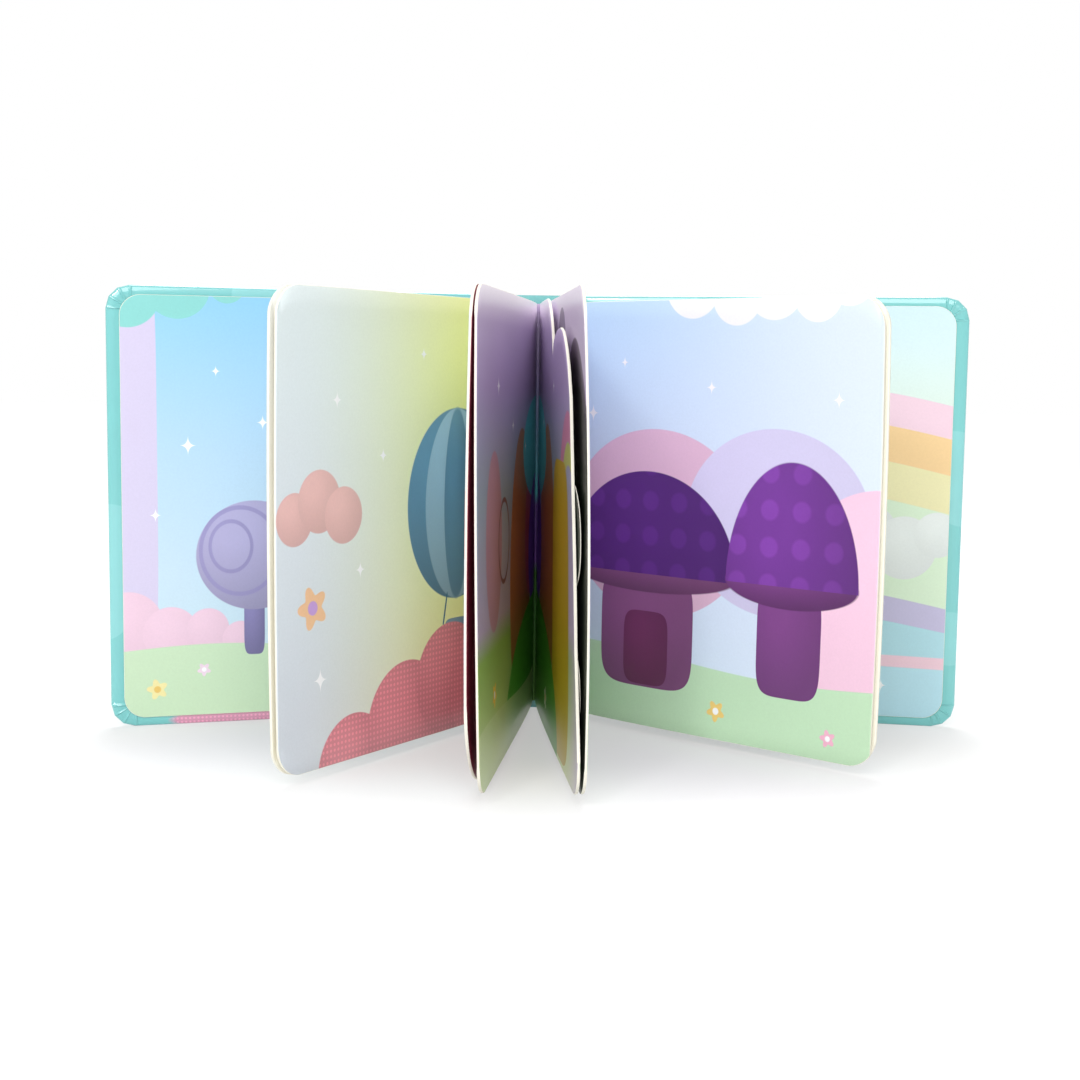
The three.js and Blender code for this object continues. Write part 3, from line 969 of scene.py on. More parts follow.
    def bend_tree(self) -> NodeTree:
        """Builds the tree that bends a flat leaf.

        A guide curve leaves the root at the start angle and turns towards the end angle by
        the same share over each stretch. The leaf lies along it, and sways more towards its
        free edge.

        Returns:
            The geometry tree.
        """
        tree, given = geometry_tree("page_bend", (
            ("Sheet", "Geometry"), ("Root", "Vector"), ("Start angle", "Float"),
            ("End angle", "Float"), ("Bend length", "Float"), ("Width", "Float"),
            ("Foot", "Float"), ("Height", "Float"), ("Lean", "Float"), ("Bow", "Float"),
            ("Edge card", "Material"), ("Left print", "Material"),
            ("Right print", "Material")))
        far = add_node(tree, JOIN, {0: given.outputs["Width"]})
        line = add_node(tree, "GeometryNodeCurvePrimitiveLine", {"End": far})
        guide = add_node(tree, "GeometryNodeResampleCurve", {
            "Curve": line, "Count": self.guide_points})
        step = add_node(tree, MATH, {
            0: given.outputs["Width"], 1: float(self.guide_points - 1)}, operation="DIVIDE")
        here = add_node(tree, SPLIT, {0: add_node(tree, "GeometryNodeInputPosition")})
        middle = add_node(tree, MATH, {
            0: step, 1: -0.5, 2: here.outputs[0]}, operation="MULTIPLY_ADD")
        share = add_node(tree, MATH, {
            0: middle, 1: given.outputs["Bend length"]}, operation="DIVIDE")
        less = add_node(tree, MATH, {0: share, 1: -1.0}, operation="MULTIPLY")
        left_over = add_node(tree, MATH, {0: less}, operation="EXPONENT")
        swing = add_node(tree, MATH, {
            0: given.outputs["Start angle"], 1: given.outputs["End angle"]}, operation="SUBTRACT")
        angle = add_node(tree, MATH, {
            0: left_over, 1: swing, 2: given.outputs["End angle"]}, operation="MULTIPLY_ADD")
        sine = add_node(tree, MATH, {0: angle}, operation="SINE")
        cosine = add_node(tree, MATH, {0: angle}, operation="COSINE")
        nearer = add_node(tree, MATH, {0: cosine, 1: -1.0}, operation="MULTIPLY")
        along = add_node(tree, JOIN, {0: sine, 1: nearer})
        first = add_node(tree, MATH, {
            0: add_node(tree, "GeometryNodeInputIndex"), 1: 0.5}, operation="GREATER_THAN")
        length = add_node(tree, MATH, {0: first, 1: step}, operation="MULTIPLY")
        stride = add_node(tree, VECTOR, {0: along, "Scale": length}, operation="SCALE")
        walked = add_node(tree, "GeometryNodeAccumulateField", {"Value": stride},
                          data_type="FLOAT_VECTOR")
        place = add_node(tree, VECTOR, {
            0: given.outputs["Root"], 1: result(walked, "Leading")}, operation="ADD")
        bent = add_node(tree, "GeometryNodeSetPosition", {"Geometry": guide, "Position": place})

        at = add_node(tree, SPLIT, {0: add_node(tree, "GeometryNodeInputPosition")})
        factor = add_node(tree, MATH, {
            0: at.outputs[0], 1: given.outputs["Width"]}, operation="DIVIDE")
        sample = add_node(tree, "GeometryNodeSampleCurve", {
            "Curves": bent, "Factor": factor, "Curve Index": 0},
            mode="FACTOR", data_type="FLOAT_VECTOR")
        across = add_node(tree, VECTOR, {
            0: (0.0, 0.0, 1.0), 1: result(sample, "Tangent")}, operation="CROSS_PRODUCT")
        normal = add_node(tree, VECTOR, {0: across}, operation="NORMALIZE")
        above = add_node(tree, MATH, {
            0: at.outputs[2], 1: given.outputs["Foot"]}, operation="SUBTRACT")
        rise = add_node(tree, MATH, {
            0: above, 1: given.outputs["Height"]}, operation="DIVIDE", use_clamp=True)
        centred = add_node(tree, MATH, {0: rise, 1: 0.5}, operation="SUBTRACT")
        leaning = add_node(tree, MATH, {
            0: centred, 1: given.outputs["Lean"]}, operation="MULTIPLY")
        doubled = add_node(tree, MATH, {0: centred, 1: 2.0}, operation="MULTIPLY")
        square = add_node(tree, MATH, {0: doubled, 1: 2.0}, operation="POWER")
        hump = add_node(tree, MATH, {0: 1.0, 1: square}, operation="SUBTRACT")
        sway = add_node(tree, MATH, {
            0: hump, 1: given.outputs["Bow"], 2: leaning}, operation="MULTIPLY_ADD")
        reach = add_node(tree, MATH, {0: factor, 1: 1.5}, operation="POWER")
        off = add_node(tree, MATH, {0: sway, 1: reach, 2: at.outputs[1]}, operation="MULTIPLY_ADD")
        aside = add_node(tree, VECTOR, {0: normal, "Scale": off}, operation="SCALE")
        up = add_node(tree, JOIN, {2: at.outputs[2]})
        moved = add_node(tree, VECTOR, {0: result(sample, "Position"), 1: aside}, operation="ADD")
        final = add_node(tree, VECTOR, {0: moved, 1: up}, operation="ADD")
        leaf = add_node(tree, "GeometryNodeSetPosition", {
            "Geometry": given.outputs["Sheet"], "Position": final})
        body = add_node(tree, "GeometryNodeRealizeInstances", {0: leaf})
        side = add_node(tree, "GeometryNodeInputNamedAttribute", {"Name": "side"}, data_type="INT")
        for number, label in enumerate(("Edge card", "Left print", "Right print")):
            chosen = add_node(tree, "FunctionNodeCompare", {"A": side, "B": number},
                              data_type="INT", operation="EQUAL")
            body = add_node(tree, "GeometryNodeSetMaterial", {
                "Geometry": body, "Selection": chosen, "Material": given.outputs[label]})
        add_node(tree, "NodeGroupOutput", {0: body})
        return tree

    def make_leaf(self, index: int, prints: dict[str, Material], edge: Material) -> Object:
        """Makes one bent leaf.

        Args:
            index: The leaf's number from the left, from 0.
            prints: The page prints by name.
            edge: The finish of the cut edges.

        Returns:
            The finished piece.
        """
        leaf = self.leaves[index]
        name = f"page_leaf_{index + 1}"
        if self.tree is None:
            self.tree = self.bend_tree()
        piece = new_piece(name, self.flat_sheet(leaf, name))
        x, y = self.root(index)
        add_inputs(piece, self.tree, {
            "Root": (x * MM, y * MM, 0.0), "Start angle": math.radians(leaf.start),
            "End angle": math.radians(leaf.end), "Bend length": self.bend_length * MM,
            "Width": LEAF_WIDTH * MM, "Foot": FOOT * MM, "Height": LEAF_HEIGHT * MM,
            "Lean": leaf.lean * MM, "Bow": leaf.bow * MM, "Edge card": edge,
            "Left print": prints[leaf.left], "Right print": prints[leaf.right]})
        finished(piece)
        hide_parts("page_block")
        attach(piece, "book")
        return piece

    def fold_tree(self) -> NodeTree:
        """Builds the tree that repeats one folded back along the spine.

        Returns:
            The geometry tree.
        """
        tree, given = geometry_tree("folded_backs", (
            ("Fold", "Geometry"), ("Count", "Int"), ("Pitch", "Float"), ("Rise", "Float"),
            ("Gutter", "Float"), ("Card", "Material")))
        number = add_node(tree, "GeometryNodeInputIndex")
        last = add_node(tree, MATH, {0: given.outputs["Count"], 1: 1.0}, operation="SUBTRACT")
        half = add_node(tree, MATH, {0: last, 1: 0.5}, operation="MULTIPLY")
        from_middle = add_node(tree, MATH, {0: number, 1: half}, operation="SUBTRACT")
        x = add_node(tree, MATH, {0: from_middle, 1: given.outputs["Pitch"]}, operation="MULTIPLY")
        share = add_node(tree, MATH, {0: from_middle, 1: half}, operation="DIVIDE")
        square = add_node(tree, MATH, {0: share, 1: share}, operation="MULTIPLY")
        y = add_node(tree, MATH, {
            0: square, 1: given.outputs["Rise"], 2: given.outputs["Gutter"]},
            operation="MULTIPLY_ADD")
        place = add_node(tree, JOIN, {0: x, 1: y})
        points = add_node(tree, "GeometryNodePoints", {
            "Count": given.outputs["Count"], "Position": place})
        copies = add_node(tree, "GeometryNodeInstanceOnPoints", {
            "Points": points, "Instance": given.outputs["Fold"]})
        body = add_node(tree, "GeometryNodeRealizeInstances", {0: copies})
        dressed = add_node(tree, "GeometryNodeSetMaterial", {
            "Geometry": body, "Material": given.outputs["Card"]})
        add_node(tree, "NodeGroupOutput", {0: dressed})
        return tree

    def one_fold(self) -> Mesh:
        """Makes one folded back: a U in plan, open to the reader.

        Returns:
            The mesh, with the fold's axis at x and y 0.
        """
        outer, inner = self.fold_radius - self.fold_play, self.fold_radius - self.card
        plan: list[tuple[float, float]] = [(-outer, -self.fold_arm)]
        turns = np.linspace(math.pi, 0, self.fold_steps + 1)
        plan += [(outer * math.cos(t), outer * math.sin(t)) for t in turns]
        plan += [(outer, -self.fold_arm), (inner, -self.fold_arm)]
        plan += [(inner * math.cos(t), inner * math.sin(t)) for t in reversed(turns)]
        plan += [(-inner, -self.fold_arm)]
        return prism("fold", plan, FOOT, FOOT + LEAF_HEIGHT)

    def make_backs(self, card: Material) -> Object:
        """Makes the row of folded backs as one piece.

        Args:
            card: The finish of the folds.

        Returns:
            The piece.
        """
        piece = new_piece("folded_backs", self.one_fold())
        add_inputs(piece, self.fold_tree(), {
            "Count": len(self.leaves) + 1, "Pitch": self.fold_pitch * MM,
            "Rise": self.fold_rise * MM, "Gutter": self.gutter * MM, "Card": card})
        finished(piece)
        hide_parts("page_block")
        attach(piece, "book")
        return piece


def prism(name: str, plan: Sequence[tuple[float, float]], low: float, high: float) -> Mesh:
    """Makes an upright closed wall from its outline in plan.

    Args:
        name: The mesh's name.
        plan: The outline, in order, in millimetres.
        low: The height of its foot.
        high: The height of its top.

    Returns:
        The mesh.
    """
    points = [(x * MM, y * MM, z * MM) for z in (low, high) for x, y in plan]
    return mesh_from(name, points, tube_faces(2, len(plan)))


# A tapered strip keeps its height over this share of its line.
TAPER_START = 0.45


def strip(
    name: str, line: Sequence[tuple[float, float]], thickness: float, low: float, high: float,
    taper: float = 0.0,
) -> Mesh:
    """Makes an upright sheet of even thickness along a line in plan.

    Args:
        name: The mesh's name.
        line: The sheet's middle line, in millimetres.
        thickness: Its thickness.
        low: The height of its foot.
        high: The height of its top.
        taper: How much its foot rises and its top drops by the line's end.

    Returns:
        The closed mesh.
    """
    path = np.array(line, float)
    ahead = np.gradient(path, axis=0)
    ahead /= np.linalg.norm(ahead, axis=1)[:, None]
    normal = np.stack([-ahead[:, 1], ahead[:, 0]], axis=1) * thickness / 2
    plan = [tuple(p) for p in path + normal] + [tuple(p) for p in (path - normal)[::-1]]
    mesh = prism(name, plan, low, high)
    share = (np.linspace(0, 1, len(path)) - TAPER_START) / (1 - TAPER_START)
    past = np.clip(share, 0, 1) ** 1.5 * taper * MM
    for number, draw in enumerate([*past, *past[::-1]]):
        mesh.vertices[number].co.z += draw
        mesh.vertices[number + len(plan)].co.z -= draw
    return mesh


def smooth_line(
    knots: Sequence[tuple[float, float]], count: int = 24,
) -> list[tuple[float, float]]:
    """Runs a smooth line through a few points in plan.

    Args:
        knots: The points, in order.
        count: How many points to give back.

    Returns:
        Points on a Catmull-Rom curve through the knots.
    """
    p = np.array([knots[0], *knots, knots[-1]], float)
    found = []
    for value in np.linspace(0, len(knots) - 1, count):
        i = min(int(value), len(knots) - 2)
        t = value - i
        a, b, c, d = p[i], p[i + 1], p[i + 2], p[i + 3]
        found.append(tuple(0.5 * (2 * b + (c - a) * t + (2 * a - 5 * b + 4 * c - d) * t ** 2
                                  + (3 * b - a - 3 * c + d) * t ** 3)))
    return found


# Case


class Side(Enum):
    """Which cover."""

    FRONT = "front"
    BACK = "back"


PLEAT_SEEDS = {Side.FRONT: 3, Side.BACK: 8}


@dataclass
class Cover:
    """A padded cover with its end card. In its own frame the hinge axis is the origin, x runs
    to the fore edge and the inner face looks to -y."""

    side: Side
    lean: float
    hinge_drop: float
    width: float = 172.4
    corner: float = 10.0
    edge_radius: float = 1.5
    pad_rise: float = 1.2
    pad_shoulder: float = 14.0
    hinge_offset: float = 18.0
    square: float = 4.0
    fore_square: float = 5.5
    end_corner: float = 9.0
    end_card: float = 0.7
    end_rise: float = 0.86
    end_round: float = 0.14
    facet: float = 30.0
    edge_steps: int = 30
    pad_steps: int = 10
    # Where the round edge has a ring, in degrees from its fore line
    edge_turns: tuple[float, ...] = (-50, -35, -20, -5, 10, 25, 40, 45)
    wrap_thickness: float = 0.3
    wrap_inset: float = 0.25
    wrap_taper: float = 4.8
    end_play: float = 0.05
    corner_steps: int = 24
    # The turned-in band beside the end card, as y, inset and facet: it dips there.
    band: tuple[tuple[float, float, float], ...] = (
        (-1.32, 9.0, 0.2), (-1.32, 6.2, 0.3), (-1.42, 5.0, 0.4), (-1.62, 4.0, 0.5),
        (-1.68, 3.2, 0.6), (-1.6, 2.3, 0.7), (-1.38, 1.4, 0.8))
    # A pleat's section at places along it, as x, half width and rise.
    pleat_line: tuple[tuple[float, float, float], ...] = (
        (-7.5, 0.2, 0.05), (-6.0, 0.6, 0.3), (-4.0, 0.95, 0.55),
        (-2.2, 1.2, 0.68), (-0.9, 1.3, 0.6), (-0.2, 1.3, 0.25))
    pleats_per_corner: int = 4

    @property
    def sign(self) -> int:
        """Which way the cover lies from the spine, along x."""
        return -1 if self.side is Side.FRONT else 1

    @property
    def hinge(self) -> Vector:
        """The hinge axis in plan, in millimetres."""
        return Vector((self.sign * self.hinge_offset, -self.hinge_drop, 0))

    @property
    def body(self) -> str:
        """The CAD body that the cover is."""
        return f"{self.side.value}_cover"

    @property
    def in_plan(self) -> Matrix:
        """The cover's turn and place in plan.

        Returns:
            The matrix, in millimetres.
        """
        lean = math.radians(self.lean)
        turn = math.pi + lean if self.side is Side.FRONT else -lean
        return Matrix.Translation(self.hinge) @ Matrix.Rotation(turn, 4, "Z")

    def place(self) -> Matrix:
        """Gives the cover's place.

        Returns:
            The matrix from the cover's frame to the book's, in millimetres.
        """
        if self.side is Side.BACK:
            return self.in_plan
        turned = Matrix.Translation((0, 0, BOOK_HEIGHT)) @ Matrix.Rotation(math.pi, 4, "X")
        return self.in_plan @ turned

    def into_place(self, mesh: Mesh) -> Mesh:
        """Moves a mesh from the cover's frame to the book's.

        Args:
            mesh: The mesh, in metres.

        Returns:
            The same mesh.
        """
        scale = Matrix.Scale(MM, 4)
        mesh.transform(scale @ self.place() @ scale.inverted())
        return mesh

    def ring(self, inset: float, facet: float) -> list[tuple[float, float]]:
        """Gives the outline at one level, drawn in from the edge.

        Args:
            inset: How far it is drawn in.
            facet: How flat the three facets of a fore corner are, from 0 to 1.

        Returns:
            Points as x and z.
        """
        near = -self.edge_radius + inset
        far = self.width - inset
        low, high = inset, BOOK_HEIGHT - inset
        radius = max(self.corner - inset, 1.2)
        half = self.facet / 2
        turns = []
        for i in range(self.corner_steps + 1):
            degrees = 90 * i / self.corner_steps
            flat = math.cos(math.radians(half)) / math.cos(
                math.radians(degrees % self.facet - half))
            turns.append((math.radians(degrees), radius * (1 + (flat - 1) * facet)))
        along = [k / self.edge_steps for k in range(1, self.edge_steps)]
        wide, tall = far - radius - near, high - low - 2 * radius
        return [
            (near, low),
            *((near + wide * share, low) for share in along),
            *((far - radius + reach * math.sin(turn), low + radius - reach * math.cos(turn))
              for turn, reach in turns),
            *((far, low + radius + tall * share) for share in along),
            *((far - radius + reach * math.cos(turn), high - radius + reach * math.sin(turn))
              for turn, reach in turns),
            *((far - radius - wide * share, high) for share in along),
            (near, high),
        ]

    def levels(self) -> list[tuple[float, float, float]]:
        """Gives the cover's section.

        Returns:
            The y, inset and facet of each level, from inside to outside.
        """
        r = self.edge_radius
        rounds = [(r * math.sin(t), r * (1 - math.cos(t)), 1.0)
                  for t in np.radians(self.edge_turns)]
        _, start, _ = rounds[-1]
        rise = r * math.sin(math.radians(self.edge_turns[-1]))
        rest = []
        for i in range(1, self.pad_steps + 1):
            share = i / self.pad_steps
            inset = start + (self.pad_shoulder - start) * share ** 2
            y = rise + (r + self.pad_rise - rise) * math.sin(share * math.pi / 2)
            rest.append((y, inset, max(0.9 - share, 0)))
        return [*self.band, *rounds, *rest]

    def make_board(self, wrap: Material) -> Object:
        """Makes the padded, wrapped board.

        Args:
            wrap: The finish of the case.

        Returns:
            The piece.
        """
        levels = self.levels()
        rings = [self.ring(inset, facet) for _, inset, facet in levels]
        points = [(x * MM, level[0] * MM, z * MM)
                  for level, ring in zip(levels, rings) for x, z in ring]
        faces = tube_faces(len(levels), len(rings[0]))
        mesh = self.into_place(mesh_from(f"{self.body}_board", points, faces, 50))
        piece = new_piece(f"{self.body}_board", mesh)
        mesh.materials.append(wrap)
        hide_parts(self.body)
        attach(piece, self.body)
        return piece

    def make_end_card(self, page: Material, edge: Material) -> Object:
        """Makes the end card that is glued inside the cover.

        Args:
            page: The print of its face.
            edge: The finish of its cut edge.

        Returns:
            The piece.
        """
        start, end = self.edge_radius / 3, self.width - self.fore_square
        low, high = self.square, BOOK_HEIGHT - self.square
        r = self.end_corner
        turns = [math.pi / 2 * i / 16 for i in range(17)]
        outline = [
            (start, low),
            *((end - r + r * math.sin(t), low + r - r * math.cos(t)) for t in turns),
            *((end - r + r * math.cos(t), high - r + r * math.sin(t)) for t in turns),
            (start, high),
        ]
        face = -(self.edge_radius + self.end_rise)
        soft = self.end_round
        levels = ((face + self.end_card, 0.0), (face + soft, 0.0), (face, soft))
        middle = Vector(((start + end) / 2, (low + high) / 2))
        points = []
        for y, inset in levels:
            for x, z in outline:
                from_middle = Vector((x, z)) - middle
                shrink = Vector((1 - inset / abs(end - middle.x),
                                 1 - inset / abs(high - middle.y)))
                points.append(((middle.x + from_middle.x * shrink.x) * MM, y * MM,
                               (middle.y + from_middle.y * shrink.y) * MM))
        faces = tube_faces(len(levels), len(outline))
        mesh = self.into_place(mesh_from(f"{self.side.value}_end_card", points, faces, 20))
        mesh.materials.append(edge)
        mesh.materials.append(page)
        mesh.polygons[len(faces) - 1].material_index = 1
        uv = mesh.uv_layers.new(name="page")
        back = self.place().inverted()
        for loop in mesh.loops:
            world = mesh.vertices[loop.vertex_index].co / MM
            from_fore = end - (back @ world).x
            across = from_fore if self.side is Side.FRONT else LEAF_WIDTH - from_fore
            uv.data[loop.index].uv = (across / LEAF_WIDTH, (world.z - FOOT) / LEAF_HEIGHT)
        piece = new_piece(f"{self.side.value}_end_card", mesh)
        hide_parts(f"{self.side.value}_pastedown")
        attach(piece, self.body)
        return piece

    def pleat(self) -> Mesh:
        """Makes one pleat of the wrap: a low fold, steep on one side, that runs out inwards.

        Returns:
            The mesh, with x outwards, the board's face at y 0 and its rise to -y.
        """
        points = []
        for x, half, rise in self.pleat_line:
            sag = 0.28 if x > -1 else 0.0
            for z, y in ((-half, 0.2), (-half * 0.25, -rise * 0.7), (half * 0.25, -rise),
                         (half * 0.5, -rise * 0.55), (half * 0.6, 0.2)):
                points.append((x * MM, (y + sag) * MM, z * MM))
        return mesh_from("pleat", points, tube_faces(len(self.pleat_line), 5), 55)

    def pleat_tree(self) -> NodeTree:
        """Builds the tree that fans pleats round both fore corners.

        Returns:
            The geometry tree.
        """
        tree, given = geometry_tree("corner_pleats", (
            ("Pleat", "Geometry"), ("Per corner", "Int"), ("Corner x", "Float"),
            ("Corner height", "Float"), ("Book height", "Float"), ("Reach", "Float"),
            ("Face", "Float"), ("Seed", "Int"), ("Wrap", "Material")))
        total = add_node(tree, MATH, {0: given.outputs["Per corner"], 1: 2.0},
                         operation="MULTIPLY")
        number = add_node(tree, "GeometryNodeInputIndex")
        corner = add_node(tree, MATH, {0: number, 1: given.outputs["Per corner"]},
                          operation="DIVIDE")
        top = add_node(tree, MATH, {0: corner}, operation="FLOOR")
        within = add_node(tree, MATH, {
            0: number, 1: given.outputs["Per corner"]}, operation="MODULO")
        gaps = add_node(tree, MATH, {0: given.outputs["Per corner"], 1: 1.0}, operation="SUBTRACT")
        part = add_node(tree, MATH, {0: within, 1: gaps}, operation="DIVIDE")
        jitter = add_node(tree, "FunctionNodeRandomValue", {
            "Min": -0.05, "Max": 0.05, "Seed": given.outputs["Seed"]}, data_type="FLOAT")
        angle = add_node(tree, MATH, {
            0: part, 1: math.pi / 2, 2: jitter}, operation="MULTIPLY_ADD")
        sine = add_node(tree, MATH, {0: angle}, operation="SINE")
        cosine = add_node(tree, MATH, {0: angle}, operation="COSINE")
        sign = add_node(tree, MATH, {0: top, 1: 2.0, 2: -1.0}, operation="MULTIPLY_ADD")
        x = add_node(tree, MATH, {
            0: cosine, 1: given.outputs["Reach"], 2: given.outputs["Corner x"]},
            operation="MULTIPLY_ADD")
        out = add_node(tree, MATH, {
            0: sine, 1: given.outputs["Reach"], 2: given.outputs["Corner height"]},
            operation="MULTIPLY_ADD")
        half = add_node(tree, MATH, {0: given.outputs["Book height"], 1: 0.5},
                        operation="MULTIPLY")
        z = add_node(tree, MATH, {0: out, 1: sign, 2: half}, operation="MULTIPLY_ADD")
        place = add_node(tree, JOIN, {0: x, 1: given.outputs["Face"], 2: z})
        points = add_node(tree, "GeometryNodePoints", {"Count": total, "Position": place})
        back = add_node(tree, MATH, {0: sign, 1: -1.0}, operation="MULTIPLY")
        swing = add_node(tree, MATH, {0: angle, 1: back}, operation="MULTIPLY")
        turn = add_node(tree, JOIN, {1: swing})
        size = add_node(tree, "FunctionNodeRandomValue", {
            "Min": 0.75, "Max": 1.1, "Seed": given.outputs["Seed"]}, data_type="FLOAT")
        scale = add_node(tree, JOIN, {0: size, 1: 1.0, 2: size})
        copies = add_node(tree, "GeometryNodeInstanceOnPoints", {
            "Points": points, "Instance": given.outputs["Pleat"],
            "Rotation": turn, "Scale": scale})
        body = add_node(tree, "GeometryNodeRealizeInstances", {0: copies})
        dressed = add_node(tree, "GeometryNodeSetMaterial", {
            "Geometry": body, "Material": given.outputs["Wrap"]})
        add_node(tree, "NodeGroupOutput", {0: dressed})
        return tree

    def make_pleats(self, wrap: Material) -> Object:
        """Makes the pleats at both fore corners as one piece.

        Args:
            wrap: The finish of the case.

        Returns:
            The piece.
        """
        piece = new_piece(f"{self.body}_pleats", self.pleat())
        add_inputs(piece, self.pleat_tree(), {
            "Per corner": self.pleats_per_corner, "Corner x": (self.width - self.corner) * MM,
            "Corner height": (BOOK_HEIGHT / 2 - self.corner) * MM,
            "Book height": BOOK_HEIGHT * MM, "Reach": (self.corner - 0.5) * MM,
            "Face": -self.edge_radius * MM, "Seed": PLEAT_SEEDS[self.side], "Wrap": wrap})
        finished(piece)
        self.into_place(piece.data)
        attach(piece, self.body)
        return piece

    def local(self, x: float, y: float) -> tuple[float, float]:
        """Turns a point in the cover's frame into the book's plan. y is outwards."""
        placed = self.in_plan @ Vector((x, self.sign * y, 0))
        return placed.x, placed.y

    def make_wrap_joint(self, wrap: Material) -> Object:
        """Makes the wrap that runs from the spine through the groove onto the cover.

        Args:
            wrap: The finish of the case.

        Returns:
            The piece, blended across the hinge.
        """
        sign = self.sign
        line = smooth_line([
            (sign * 11.9, 0.55), (sign * 14.0, -0.15), (sign * 15.8, -1.0),
            self.local(-1.72, 0.35), self.local(-1.15, 1.25), self.local(0.0, 1.66),
            self.local(2.2, 2.1), self.local(4.2, 2.0)])
        mesh = strip(f"{self.side.value}_wrap_joint", line, self.wrap_thickness,
                     self.wrap_inset, BOOK_HEIGHT - self.wrap_inset, self.wrap_taper)
        mesh.materials.append(wrap)
        piece = new_piece(f"{self.side.value}_wrap_joint", mesh)
        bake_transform(piece)
        return piece

    def make_end_joint(self, block: PageBlock, card: Material) -> Object:
        """Makes the strip of the end card that runs from its fold to the cover.

        Args:
            block: The page block, which gives the place of the fold.
            card: The finish of the strip.

        Returns:
            The piece, blended across the hinge.
        """
        sign = self.sign
        x, y = block.fold(0 if self.side is Side.FRONT else len(block.leaves))
        y -= block.fold_arm / 2
        line = smooth_line([
            (x + sign * 0.9, y), (x + sign * 3.2, y - 0.2), (x + sign * 5.4, y - 0.7),
            (x + sign * 7.4, y - 1.5), self.local(0.2, -2.02), self.local(2.4, -2.02)])
        low, high = FOOT + self.end_play, FOOT + LEAF_HEIGHT - self.end_play
        mesh = strip(f"{self.side.value}_end_joint", line, block.card - 0.04, low, high)
        mesh.materials.append(card)
        piece = new_piece(f"{self.side.value}_end_joint", mesh)
        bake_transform(piece)
        return piece


# Prints of this book

SPOT, BLOCK, RING, SWELL, DOTTED = (
    Motif.SPOT, Motif.BLOCK, Motif.RING, Motif.SWELL, Motif.DOTTED)
BLUE_SKY = ((0.0, "#D4E9F0"), (0.35, "#CBE2F2"), (0.62, "#BCDBF2"), (1.0, "#96D2F3"))

